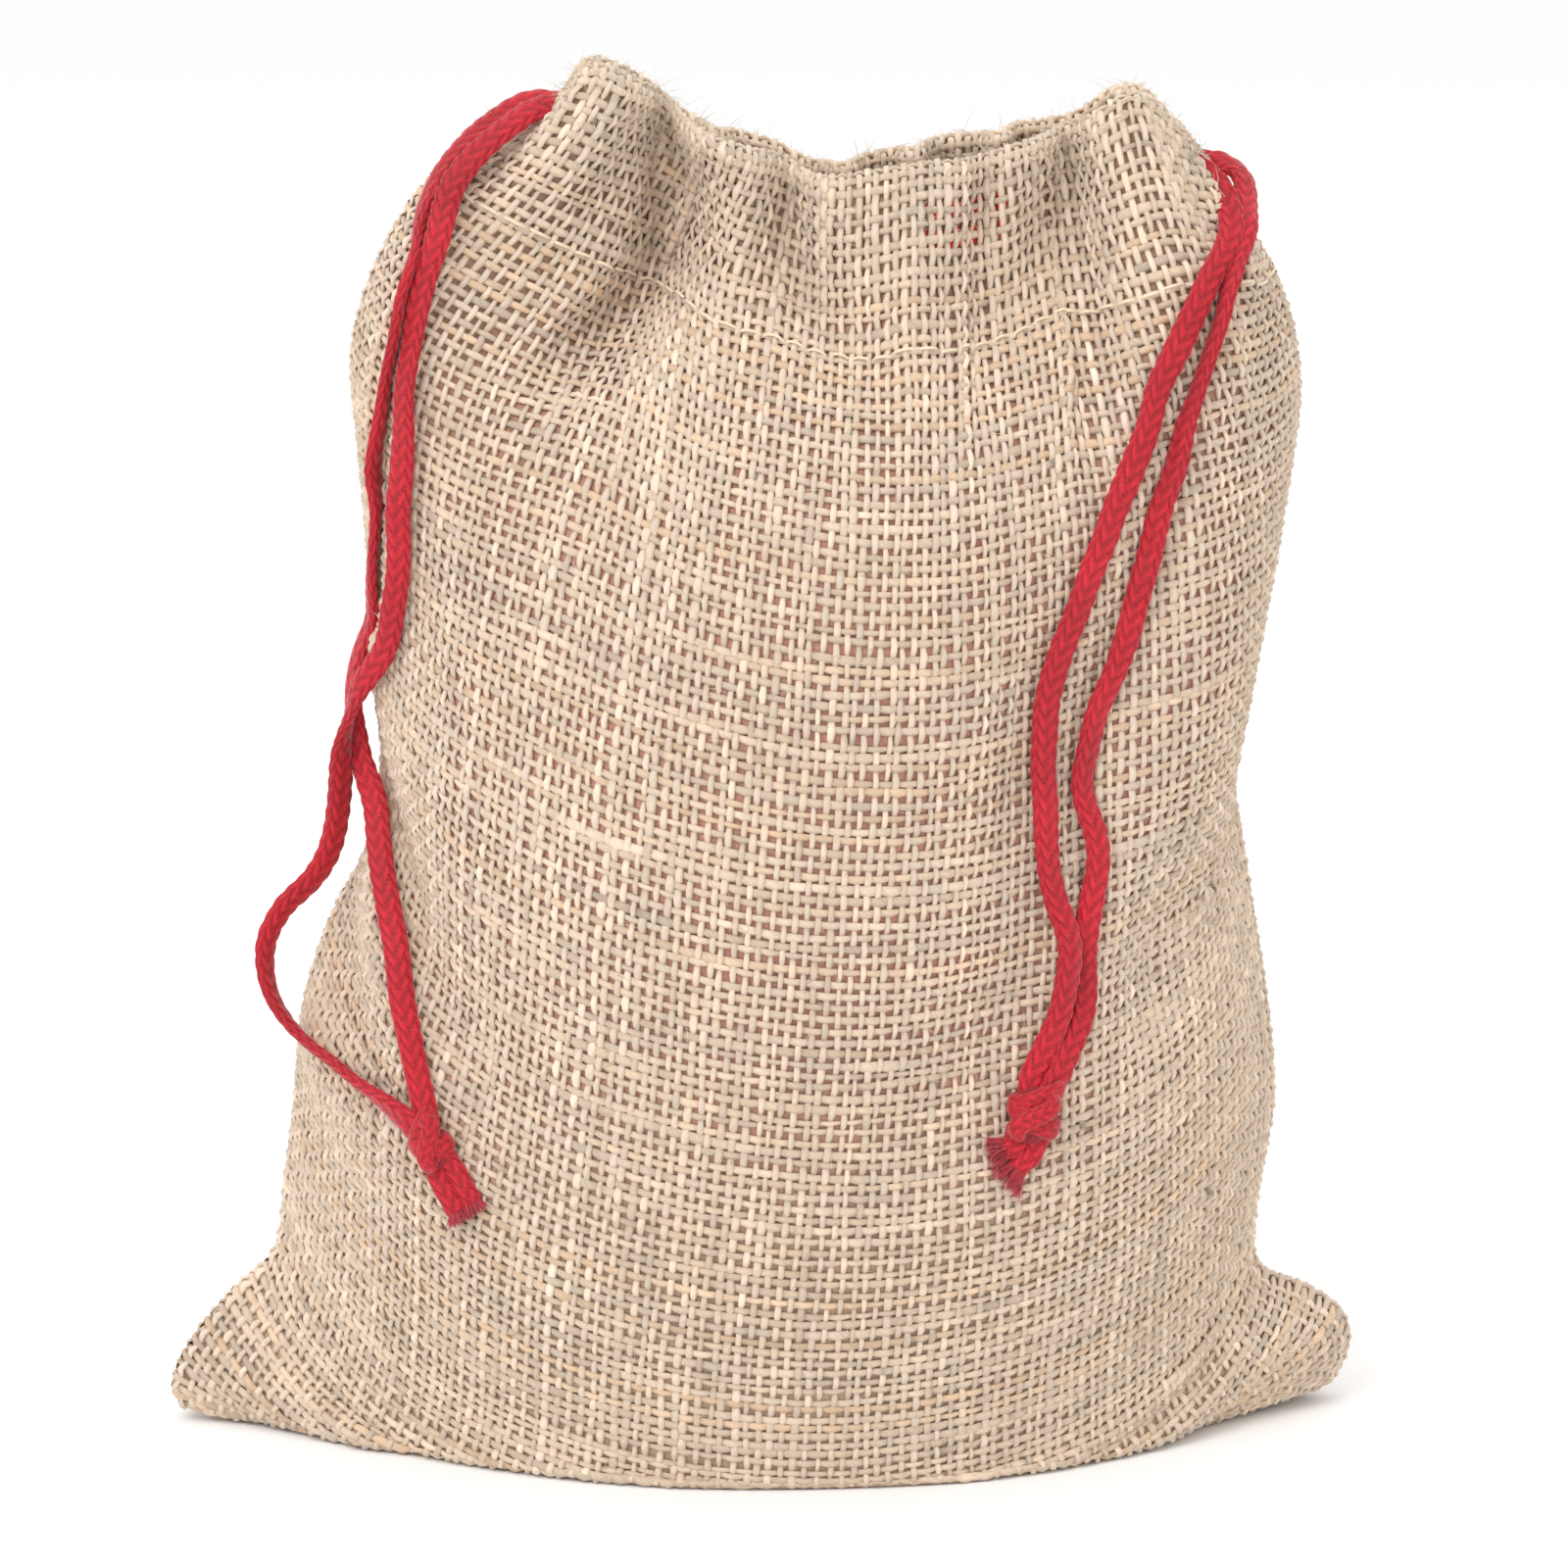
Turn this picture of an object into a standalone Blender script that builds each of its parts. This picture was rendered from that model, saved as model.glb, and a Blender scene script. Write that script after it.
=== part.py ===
"""Jute drawstring sack, standing upright: hessian panels, drawcord casings, seams and two red drawcords.

Metres, +Z up, front facing -Y.  The origin is the centre of the flat base.  The rest pose is the sack drawn
nearly shut, with both cord tails lying against its front.
"""

import math

import bmesh
import bpy
import numpy as np
from mathutils import Vector

MM = 0.001

# Driving sizes, in millimetres.
HEM_LINE_Z = 161.6
CLOTH = 1.4
GAP = 0.3
CORD_RADIUS = 1.3
RUN_RADIUS = 1.2
THREAD_RADIUS = 0.45
SEAM_HALF_THICKNESS = 0.7
SEAM_WIDTH = 6.0

# Side outlines of the filled sack: height, then distance to the left and to the right of the centre.
LEFT_OUTLINE = ((0, 80), (7, 86), (13, 81), (24, 71), (44, 68), (65, 65), (80, 58.5), (95, 54.5),
                (122, 55), (152, 57.5), (HEM_LINE_Z, 56.5))
RIGHT_OUTLINE = ((0, 80), (7, 86), (16, 82), (26, 72.5), (48, 74.5), (65, 73), (82, 70), (104, 67),
                 (120, 70), (140, 75), (153, 76.4), (HEM_LINE_Z, 75))
# Half depth of the filled sack, and how sharply its sides come to a point (1 is an ellipse).
HALF_DEPTH = ((0, 27), (4, 31), (14, 34), (38, 35), (90, 33), (120, 31), (140, 29), (152, 26), (HEM_LINE_Z, 21.85))
SIDE_POWER = ((0, 2.2), (14, 2.0), (24, 1.5), (40, 1.15), (60, 1.0), (HEM_LINE_Z, 1.0))
PANEL_LEVELS = (0, 3, 7, 12, 18, 26, 38, 52, 66, 78, 90, 104, 120, 136, 148, 156, HEM_LINE_Z)
PANEL_COLUMNS = 30
BASE_ROWS = (0.0, 0.5)

# The casing: a collar round the mouth that holds the cords, on a sloping skirt down to the hem line.
CASING_BASE_Z = HEM_LINE_Z + 0.4
COLLAR_HEIGHT = 11.0
COLLAR_THICKNESS = 4.6
COLLAR_FRONT = -5.0
MOUTH_HALF_GAP = 4.5
SKIRT_DEPTH = 17.1
SKIRT_KNEE_SHARE = 0.45
SKIRT_KNEE_Z_SHARE = 0.55
HEM_STITCH_RISE = 1.8
MOUTH_LEFT = -26.0
MOUTH_RIGHT = 62.5
LIP_LEFT = -11.0
LIP_RIGHT = 48.0
RIM_PROFILE = ((MOUTH_LEFT, 197.3), (LIP_LEFT, 189.5), (2, 184), (16, 181.8), (31, 183), (40, 186.5),
               (LIP_RIGHT, 191), (MOUTH_RIGHT, 187))
BORE_DROP = 5.6
BORE_HALF_HEIGHT = 4.2
BORE_HALF_WIDTH = 1.8
CORD_SPACING = 3.0
LEFT_CORD_DROP = BORE_DROP + CORD_SPACING / 2
RIGHT_CORD_DROP = BORE_DROP - CORD_SPACING / 2

# Each cord strand, from inside its tunnel to the shoulder, and from the shoulder down to the knot.
STRANDS = {
    "left_cord_front": (
        ((-13.5, -2.7, 183.7), (-20, -2.7, 187.08), (-26, -2.7, 190.2), (-28.6, -2.9, 191.2), (-31.5, -4, 190.9),
         (-34.8, -5.8, 188.9), (-38.8, -7.6, 185.6), (-42.1, -9.6, 181.2), (-44.5, -11.8, 175.6),
         (-46.1, -13.6, 169.4), (-46.9, -14.3, 166)),
        ((-46.9, -14.3, 166), (-47.8, -14.6, 162), (-49.2, -14.7, 154.2), (-50.1, -14.9, 145.9),
         (-50.5, -15, 137.6), (-50.6, -15, 130), (-51.3, -14.6, 122.9), (-53.1, -13.4, 115.7),
         (-56.6, -11.2, 109.6), (-58.9, -8.8, 103), (-59.9, -7.4, 95.2), (-60.6, -7, 88), (-63.5, -7, 81.8),
         (-68.3, -7.8, 76.9), (-70.5, -9, 71.5), (-69, -11, 64.5), (-63.9, -14.2, 58.8), (-56.2, -21, 54.6),
         (-49.7, -27.2, 51.1)),
    ),
    "left_cord_back": (
        ((-13.5, 2.7, 183.7), (-20, 2.7, 187.08), (-26, 2.7, 190.2), (-28.9, 2.5, 191.3), (-32.4, 1.8, 191.4),
         (-36.2, 0.4, 189.6), (-40.7, -2.4, 186.4), (-44.6, -5.6, 181.9), (-47.3, -9.6, 175),
         (-49.2, -13, 169.3), (-50, -13.6, 166)),
        ((-50, -13.6, 166), (-50.8, -13.9, 161.8), (-52.7, -12.2, 152.4), (-53.8, -11.4, 141.2),
         (-54.3, -10.6, 129.9), (-55, -8.8, 121.1), (-56.6, -6.2, 113.8), (-57.5, -5.4, 107.4),
         (-56.5, -6.4, 100.7), (-55.3, -9.8, 92.9), (-53.4, -15.4, 84.2), (-51.7, -19.8, 75.3),
         (-50.3, -23.2, 66.2), (-48.4, -25.8, 58.4), (-47.1, -27.2, 52.6)),
    ),
    "right_cord_front": (
        ((50.5, -2.7, 186.21), (56.5, -2.7, 184.56), (62.5, -2.7, 182.9), (64.8, -3.3, 182.1),
         (65.9, -5.2, 180.4), (65.1, -8.2, 177.6), (63.5, -11.4, 173.8), (61.8, -14.4, 169),
         (60.9, -15.4, 166)),
        ((60.9, -15.4, 166), (59.7, -16.8, 163), (56.4, -19.6, 156.3), (53, -22.6, 147.2), (49.6, -24.9, 138),
         (45.5, -26.8, 127.3), (42.2, -28.1, 119.3), (39.9, -28.9, 111.8), (39.1, -29.3, 102.9),
         (39.7, -30, 93.3), (40.8, -30.4, 84.9), (42.3, -30.9, 78.6), (42.6, -31.4, 73.3), (41.9, -31.8, 67.7),
         (39.7, -32.4, 62.2), (38.1, -33.1, 58.4)),
    ),
    "right_cord_back": (
        ((50.5, 2.7, 186.21), (56.5, 2.7, 184.56), (62.5, 2.7, 182.9), (65.5, 2.6, 182.6), (67.8, 1.2, 181.2),
         (68.4, -1.8, 178.8), (67.9, -5.6, 176), (66.8, -9.4, 172.3), (65.4, -12.8, 168.4), (64.6, -14.2, 166)),
        ((64.6, -14.2, 166), (63.9, -15.6, 162.4), (62.4, -17.2, 157.3), (58.5, -20.8, 146.2),
         (55.4, -23, 134.9), (52.5, -24.4, 124.1), (49.5, -25.7, 116), (46.6, -27, 108.6), (45.5, -27.7, 101),
         (46.4, -28, 92.7), (47.3, -28.2, 85.7), (46.8, -28.6, 79.6), (46, -29.2, 73.3), (45.2, -30, 67.2),
         (43, -31.6, 61.8), (41, -33.1, 57.6)),
    ),
}
# Each knot: centre, direction from the strands to the loose ends, and half sizes across, through and along.
KNOTS = {
    "left": ((-46.2, -28.4, 48), (0.48, -0.26, -0.84), (2.4, 2.2, 4.0)),
    "right": ((38.4, -33.9, 53.8), (-0.25, -0.17, -0.95), (3.1, 2.5, 3.9)),
}
LOOSE_ENDS = {
    "left_cord_front_end": ((-45.1, -29.7, 43.5), (-43.4, -30.5, 40.4), (-41.6, -31, 37.2)),
    "left_cord_back_end": ((-42.9, -29.7, 44.6), (-41.2, -30.5, 41.6), (-39.3, -31, 38.6)),
    "right_cord_front_end": ((36, -34.8, 49.9), (33.8, -35.3, 49.2), (31.3, -35.6, 47.7)),
    "right_cord_back_end": ((38.5, -34.8, 49.1), (36, -35.4, 46.4), (33, -35.6, 43.4)),
}
LOOSE_END_RADIUS = 1.0

# The moving pieces, and a point on the axis that each group turns about or slides along.
MOVING = {
    "front_lip_pivot": ((18, -22, 162), ("front_casing", "front_hem_stitching", "left_cord_front_run",
                                         "right_cord_front_run")),
    "back_lip_pivot": ((18, 22, 162), ("back_casing", "back_hem_stitching", "left_cord_back_run",
                                       "right_cord_back_run")),
    "left_cord_slide": ((-26, 0, 190.2), ("left_cord_front_shoulder", "left_cord_back_shoulder")),
    "left_tail_pivot": ((-49.4, -15.6, 166), ("left_cord_front_strand", "left_cord_back_strand", "left_cord_knot",
                                              "left_cord_front_end", "left_cord_back_end")),
    "right_cord_slide": ((62.5, 0, 182.9), ("right_cord_front_shoulder", "right_cord_back_shoulder")),
    "right_tail_pivot": ((63.1, -16.3, 166), ("right_cord_front_strand", "right_cord_back_strand", "right_cord_knot",
                                              "right_cord_front_end", "right_cord_back_end")),
}

COLOURS = {
    "hessian": (0.55, 0.42, 0.29),
    "hem": (0.58, 0.45, 0.31),
    "seam": (0.48, 0.36, 0.24),
    "thread": (0.70, 0.60, 0.45),
    "cord": (0.60, 0.02, 0.03),
}


def clear_scene():
    """Remove every object that is already in the scene."""
    for thing in list(bpy.data.objects):
        bpy.data.objects.remove(thing, do_unlink=True)


def dress(thing, finish):
    """Give an object a material of its own in one of the part's colours."""
    material = bpy.data.materials.new(thing.name)
    material.use_nodes = True
    shader = material.node_tree.nodes["Principled BSDF"]
    shader.inputs["Base Color"].default_value = (*COLOURS[finish], 1.0)
    shader.inputs["Roughness"].default_value = 0.9
    thing.data.materials.append(material)


def solid(name, points, faces, finish):
    """Make a closed mesh object from points in millimetres, with doubles merged and faces turned outwards."""
    mesh = bpy.data.meshes.new(name)
    mesh.from_pydata([Vector(p) * MM for p in points], [], faces)
    shape = bmesh.new()
    shape.from_mesh(mesh)
    bmesh.ops.remove_doubles(shape, verts=shape.verts, dist=1e-6)
    bmesh.ops.dissolve_degenerate(shape, edges=shape.edges, dist=1e-7)
    bmesh.ops.recalc_face_normals(shape, faces=shape.faces)
    shape.to_mesh(mesh)
    shape.free()
    mesh.shade_smooth()
    mesh.set_sharp_from_angle(angle=math.radians(40))
    thing = bpy.data.objects.new(name, mesh)
    bpy.context.scene.collection.objects.link(thing)
    dress(thing, finish)
    return thing


def ring_faces(start, count, rings):
    """Faces that join a run of closed rings of points, each ring to the next."""
    return [
        (start + r * count + i, start + r * count + (i + 1) % count,
         start + (r + 1) * count + (i + 1) % count, start + (r + 1) * count + i)
        for r in range(rings - 1) for i in range(count)
    ]


def bored_bar(name, outer, bore, finish):
    """A bar with a hole along it, from matching rings of points round its outside and round its bore."""
    count, rings = len(outer[0]), len(outer)
    points = [p for ring in outer for p in ring] + [p for ring in bore for p in ring]
    inner = count * rings
    faces = ring_faces(0, count, rings)
    faces += [tuple(reversed(f)) for f in ring_faces(inner, count, rings)]
    for ring in (0, rings - 1):
        a, b = ring * count, inner + ring * count
        faces += [(a + i, a + (i + 1) % count, b + (i + 1) % count, b + i) for i in range(count)]
    return solid(name, points, faces, finish)


def plain_bar(name, rings, finish):
    """A solid bar from rings of points along it, with flat ends."""
    count = len(rings[0])
    points = [p for ring in rings for p in ring]
    last = len(points) - count
    faces = ring_faces(0, count, len(rings))
    faces += [tuple(range(count)), tuple(range(last, last + count))]
    return solid(name, points, faces, finish)


def smooth_path(route, spacing, trim):
    """Points evenly spaced along the smooth Catmull-Rom curve through a route, short of each end by a trim."""
    p = np.array(route, float)
    p = np.vstack([2 * p[0] - p[1], p, 2 * p[-1] - p[-2]])
    steps = np.linspace(0, 1, 12, endpoint=False)[:, None]
    runs = [
        0.5 * (2 * b + (c - a) * steps + (2 * a - 5 * b + 4 * c - d) * steps**2
               + (3 * b - a - 3 * c + d) * steps**3)
        for a, b, c, d in zip(p, p[1:], p[2:], p[3:])
    ]
    fine = np.vstack(runs + [p[-2:-1]])
    along = np.concatenate([[0], np.cumsum(np.linalg.norm(np.diff(fine, axis=0), axis=1))])
    even = np.linspace(trim[0], along[-1] - trim[1], max(2, round(along[-1] / spacing) + 1))
    return np.stack([np.interp(even, along, fine[:, k]) for k in range(3)], 1)


def tube(name, route, radius, finish, spacing, trim=(0.0, 0.0)):
    """A round cord or thread along a route in millimetres: a curve with a bevel and filled ends."""
    path = smooth_path(route, spacing, trim)
    curve = bpy.data.curves.new(name, "CURVE")
    curve.dimensions = "3D"
    curve.bevel_depth = radius * MM
    curve.bevel_resolution = 2
    curve.use_fill_caps = True
    spline = curve.splines.new("POLY")
    spline.points.add(len(path) - 1)
    for point, place in zip(spline.points, path):
        point.co = (*(place * MM), 1.0)
    thing = bpy.data.objects.new(name, curve)
    bpy.context.scene.collection.objects.link(thing)
    dress(thing, finish)
    return thing


def at_height(table, z):
    """A value read from a table of (height, value) pairs."""
    return float(np.interp(z, [row[0] for row in table], [row[1] for row in table]))


def section(z):
    """The sack's cross-section at a height: centre, half width, half depth and side power."""
    left, right = at_height(LEFT_OUTLINE, z), at_height(RIGHT_OUTLINE, z)
    return (right - left) / 2, (right + left) / 2, at_height(HALF_DEPTH, z), at_height(SIDE_POWER, z)


def wall_point(z, turn, inset, depth_share=1.0):
    """A point on the front wall: turn runs from 0 at the left seam to pi at the right one."""
    centre, width, depth, power = section(z)
    x = centre - (width - inset) * math.cos(turn)
    y = -(GAP / 2 + depth_share * (depth - inset) * max(math.sin(turn), 0.0) ** power)
    return x, y


def panel(name, facing):
    """One hessian panel with its half of the base; facing is 1 for the front and -1 for the back."""
    turns = [math.pi * i / PANEL_COLUMNS for i in range(PANEL_COLUMNS + 1)]
    rows = [(0.0, share) for share in BASE_ROWS] + [(z, 1.0) for z in PANEL_LEVELS]
    points = []
    for inset in (0.0, CLOTH):
        for z, share in rows:
            for turn in turns:
                x, y = wall_point(z, turn, inset, share)
                points.append((x, facing * y, max(z, inset)))
    columns, count = len(turns), len(rows)
    skin = columns * count
    faces = []
    for r in range(count - 1):
        for c in range(columns - 1):
            a = r * columns + c
            faces.append((a, a + 1, a + columns + 1, a + columns))
            faces.append(tuple(skin + i for i in (a, a + columns, a + columns + 1, a + 1)))
    for r in (0, count - 1):
        faces += [(r * columns + c, r * columns + c + 1, skin + r * columns + c + 1, skin + r * columns + c)
                  for c in range(columns - 1)]
    for c in (0, columns - 1):
        faces += [(r * columns + c, (r + 1) * columns + c, skin + (r + 1) * columns + c, skin + r * columns + c)
                  for r in range(count - 1)]
    return solid(name, points, faces, "hessian")


def rim_height(x):
    """Height of the mouth's rim."""
    return at_height(RIM_PROFILE, x)


def collar_front(x):
    """Where the collar's outer side stands in depth: straight at both ends and bowed outwards in the middle."""
    share = min(max((x - LIP_LEFT) / (LIP_RIGHT - LIP_LEFT), 0.0), 1.0)
    return COLLAR_FRONT - MOUTH_HALF_GAP * math.sin(math.pi * share)


def skirt_front(x):
    """Where the casing's foot stands in depth, over the top edge of the panel."""
    centre, width = section(HEM_LINE_Z)[:2]
    return COLLAR_FRONT + 0.1 - SKIRT_DEPTH * math.sqrt(max(1 - ((x - centre) / width) ** 2, 0.0))


def casing_rings(foot_x, rim_x, facing):
    """The casing's outside and its cord tunnel, as one ring of twelve points each at one place along it."""
    top, front, thick = rim_height(rim_x), collar_front(rim_x), COLLAR_THICKNESS
    foot, knee = skirt_front(foot_x), top - COLLAR_HEIGHT
    middle_x = foot_x + SKIRT_KNEE_SHARE * (rim_x - foot_x)
    middle_z = CASING_BASE_Z + SKIRT_KNEE_Z_SHARE * (knee - CASING_BASE_Z)
    middle_y = foot + SKIRT_KNEE_SHARE * (front - foot)
    profile = (
        (foot_x, foot, CASING_BASE_Z), (middle_x, middle_y, middle_z), (rim_x, front, knee),
        (rim_x, front, top - 6), (rim_x, front + 0.3, top - 1.2), (rim_x, front + 1.5, top),
        (rim_x, front + thick - 1.5, top), (rim_x, front + thick - 0.3, top - 1.2),
        (rim_x, front + thick, top - 6), (rim_x, front + thick, knee + 1),
        (middle_x, middle_y + 2.2, middle_z), (foot_x, foot + 1.6, CASING_BASE_Z),
    )
    outer = [(x, facing * y, z) for x, y, z in profile]
    angles = [math.radians(255 - 30 * i) for i in range(12)]
    bore = [
        (rim_x, facing * (front + thick / 2 + BORE_HALF_WIDTH * math.cos(a)),
         top - BORE_DROP + BORE_HALF_HEIGHT * math.sin(a))
        for a in angles
    ]
    return outer, bore


def casing(name, foot_span, rim_span, columns, facing):
    """A stretch of the turned hem, with the tunnel that the cords run through."""
    shares = [i / columns for i in range(columns + 1)]
    rings = [
        casing_rings(foot_span[0] + s * (foot_span[1] - foot_span[0]),
                     rim_span[0] + s * (rim_span[1] - rim_span[0]), facing)
        for s in shares
    ]
    return bored_bar(name, [r[0] for r in rings], [r[1] for r in rings], "hem")


def casings(side, facing):
    """The moving lip of one side of the mouth, and the two fixed corners that it meets."""
    centre, width = section(HEM_LINE_Z)[:2]
    inner = GAP / 2
    casing(side + "_casing", (LIP_LEFT + inner, LIP_RIGHT - inner), (LIP_LEFT + inner, LIP_RIGHT - inner), 16, facing)
    casing(side + "_left_corner", (centre - width, LIP_LEFT - inner), (MOUTH_LEFT, LIP_LEFT - inner), 7, facing)
    casing(side + "_right_corner", (LIP_RIGHT + inner, centre + width), (LIP_RIGHT + inner, MOUTH_RIGHT), 6, facing)


def tunnel_point(x, drop, facing):
    """A point in the middle of the cord tunnel, a given drop below the rim."""
    return x, facing * (collar_front(x) + COLLAR_THICKNESS / 2), rim_height(x) - drop


def cord_runs(cord, drop):
    """The two stretches of a cord that the moving lips hold, front and back."""
    for side, facing in (("front", 1), ("back", -1)):
        stops = np.linspace(LIP_LEFT + 1, LIP_RIGHT - 1, 13)
        route = [tunnel_point(x, drop, facing) for x in stops]
        tube(f"{cord}_cord_{side}_run", route, RUN_RADIUS, "cord", 5.0)


def cord_turn(cord, inner_x, mouth_x, drop):
    """Where a cord comes out of the front corner on its far side and goes back in at the back corner."""
    out = math.copysign(1.0, mouth_x - inner_x)
    front = [tunnel_point(x, drop, 1) for x in (inner_x + out, (inner_x + mouth_x) / 2, mouth_x)]
    reach = (0.5, 1.2, 1.5, 1.2, 0.5)
    depth = front[-1][1]
    bend = [(mouth_x + out * r, depth * math.cos(math.pi * (i + 1) / 6), front[-1][2])
            for i, r in enumerate(reach)]
    back = [(x, -y, z) for x, y, z in reversed(front)]
    tube(cord + "_cord_turn", front + bend + back, RUN_RADIUS, "cord", 2.6)


def side_seam(name, outline, side):
    """The turned-in edges sewn together up one side, inside the sack, and their row of thread."""
    levels = (34, 50, 66, 80, 95, 110, 125, 140, 156)
    rings, stitches = [], []
    for z in levels:
        edge = at_height(outline, z) - CLOTH - 1.5
        near, far = side * edge, side * (edge - SEAM_WIDTH)
        thick = SEAM_HALF_THICKNESS
        rings.append([(near, -thick, z), (near, thick, z), (far, thick, z), (far, -thick, z)])
        stitches.append((side * (edge - SEAM_WIDTH / 2), -thick - GAP - THREAD_RADIUS, z))
    plain_bar(name + "_side_seam", rings, "seam")
    tube(name + "_seam_stitching", stitches, THREAD_RADIUS, "thread", 8.0)


def bottom_seam():
    """The turned-in edges sewn together along the middle of the base, and their row of thread."""
    low = CLOTH + GAP
    high, thick = low + SEAM_WIDTH, SEAM_HALF_THICKNESS
    rings = [[(x, -thick, low), (x, thick, low), (x, thick, high), (x, -thick, high)] for x in (-62, -20, 20, 62)]
    plain_bar("bottom_seam", rings, "seam")
    stitches = [(x, -thick - GAP - THREAD_RADIUS, (low + high) / 2) for x in (-60, -20, 20, 60)]
    tube("bottom_seam_stitching", stitches, THREAD_RADIUS, "thread", 20.0)


def hem_stitching(side, facing):
    """The row of thread that sews one lip's turned-in hem down, on the outside along the casing's foot."""
    route = []
    for x in np.linspace(LIP_LEFT + 2, LIP_RIGHT - 2, 12):
        foot, front = skirt_front(x), collar_front(x)
        middle_rise = SKIRT_KNEE_Z_SHARE * (rim_height(x) - COLLAR_HEIGHT - CASING_BASE_Z)
        run_in = SKIRT_KNEE_SHARE * (front - foot)
        slope = run_in / middle_rise
        offset = (THREAD_RADIUS + GAP + 0.1) * math.hypot(1, slope)
        route.append((x, facing * (foot + slope * HEM_STITCH_RISE - offset), CASING_BASE_Z + HEM_STITCH_RISE))
    tube(side + "_hem_stitching", route, THREAD_RADIUS, "thread", 5.0)


def knot(name, centre, axis, radii):
    """An overhand knot's outer shape: a ball stretched along the cord."""
    bpy.ops.mesh.primitive_uv_sphere_add(segments=14, ring_count=9, radius=1.0)
    thing = bpy.context.object
    thing.name = name
    thing.data.name = name
    turn = Vector((0, 0, 1)).rotation_difference(Vector(axis))
    for vertex in thing.data.vertices:
        shaped = Vector((vertex.co.x * radii[0], vertex.co.y * radii[1], vertex.co.z * radii[2]))
        vertex.co = (turn @ shaped + Vector(centre)) * MM
    thing.data.shade_smooth()
    dress(thing, "cord")


def cord_tails():
    """Each cord's two strands outside the casing, its knot and the loose ends below the knot."""
    meet = GAP / 2 + 0.05
    for name, (shoulder, hanging) in STRANDS.items():
        tube(name + "_shoulder", shoulder, CORD_RADIUS, "cord", 3.4, (0.0, meet))
        tube(name + "_strand", hanging, CORD_RADIUS, "cord", 4.5, (meet, 0.0))
    for name, (centre, axis, radii) in KNOTS.items():
        knot(name + "_cord_knot", centre, axis, radii)
    for name, route in LOOSE_ENDS.items():
        tube(name, route, LOOSE_END_RADIUS, "cord", 3.0)


def hang_on_pivots():
    """Parent each moving group to an empty on its joint's axis, leaving every piece where it is."""
    for name, (place, pieces) in MOVING.items():
        pivot = bpy.data.objects.new(name, None)
        pivot.location = Vector(place) * MM
        bpy.context.scene.collection.objects.link(pivot)
        for piece in pieces:
            thing = bpy.data.objects[piece]
            thing.parent = pivot
            thing.location = -pivot.location


def build():
    """Build every sub-part of the sack."""
    clear_scene()
    for side, facing in (("front", 1), ("back", -1)):
        panel(side + "_panel", facing)
        casings(side, facing)
        hem_stitching(side, facing)
    side_seam("left", LEFT_OUTLINE, -1)
    side_seam("right", RIGHT_OUTLINE, 1)
    bottom_seam()
    cord_runs("left", LEFT_CORD_DROP)
    cord_runs("right", RIGHT_CORD_DROP)
    cord_turn("left", LIP_RIGHT, MOUTH_RIGHT, LEFT_CORD_DROP)
    cord_turn("right", LIP_LEFT, MOUTH_LEFT, RIGHT_CORD_DROP)
    cord_tails()
    hang_on_pivots()


build()
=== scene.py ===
"""Looks of the jute drawstring sack: woven hessian, casing, seams and red draw cords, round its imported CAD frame.

Sizes are in millimetres until a mesh is made.  +X is the sack's right, +Y its back and +Z up.
"""

import logging
import math
from dataclasses import dataclass
from enum import Enum

import bpy
import numpy as np
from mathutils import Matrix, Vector

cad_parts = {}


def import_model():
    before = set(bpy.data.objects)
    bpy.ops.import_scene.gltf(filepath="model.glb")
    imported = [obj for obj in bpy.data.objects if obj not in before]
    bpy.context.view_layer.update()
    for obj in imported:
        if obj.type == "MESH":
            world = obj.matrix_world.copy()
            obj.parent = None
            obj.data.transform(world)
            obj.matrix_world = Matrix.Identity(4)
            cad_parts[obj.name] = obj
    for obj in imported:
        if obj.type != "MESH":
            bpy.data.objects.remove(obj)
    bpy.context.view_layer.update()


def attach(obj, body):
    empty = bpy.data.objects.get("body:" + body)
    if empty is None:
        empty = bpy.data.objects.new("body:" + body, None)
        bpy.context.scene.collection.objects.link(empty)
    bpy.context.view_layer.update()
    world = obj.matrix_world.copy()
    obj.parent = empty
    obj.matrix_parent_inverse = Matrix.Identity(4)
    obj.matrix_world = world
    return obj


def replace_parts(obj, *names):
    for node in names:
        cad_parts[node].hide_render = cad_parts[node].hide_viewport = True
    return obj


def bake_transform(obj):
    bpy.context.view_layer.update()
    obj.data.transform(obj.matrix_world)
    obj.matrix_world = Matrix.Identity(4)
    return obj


Array = np.ndarray
MM = 0.001
LOG = logging.getLogger("sack")


class Face(Enum):
    """Which of the sack's two panels a piece belongs to."""

    FRONT = 1
    BACK = -1

    @property
    def word(self) -> str:
        """The panel's name in lower case."""
        return self.name.lower()


class Zone(Enum):
    """The stretches a panel is cut into: three up its wall, which stay put, and three along its mouth."""

    FOOT = "foot"
    WAIST = "waist"
    CHEST = "chest"
    MOUTH_LEFT = "mouth_left"
    MOUTH_MIDDLE = "mouth_middle"
    MOUTH_RIGHT = "mouth_right"


@dataclass(frozen=True)
class Weave:
    """Thread spacing and counts of the hessian."""

    pitch: float = 1.6
    warps: int = 106
    wefts: int = 138
    fold_wefts: float = 2.9
    hem_wefts: int = 14

    @property
    def rows(self) -> int:
        """Wefts from the bottom seam, over the rim and down to the hem's inner edge."""
        return int(self.wefts + self.fold_wefts + self.hem_wefts)


# ---------------------------------------------------------------- small tools


def linear(code: str) -> tuple[float, float, float]:
    """Turns an sRGB hex colour into linear light.

    Args:
        code: The colour, such as "#d8c3a1".

    Returns:
        Red, green and blue from 0 to 1.
    """
    raw = [int(code[i:i + 2], 16) / 255 for i in (1, 3, 5)]
    r, g, b = (v / 12.92 if v <= 0.04045 else ((v + 0.055) / 1.055) ** 2.4 for v in raw)
    return r, g, b


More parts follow.
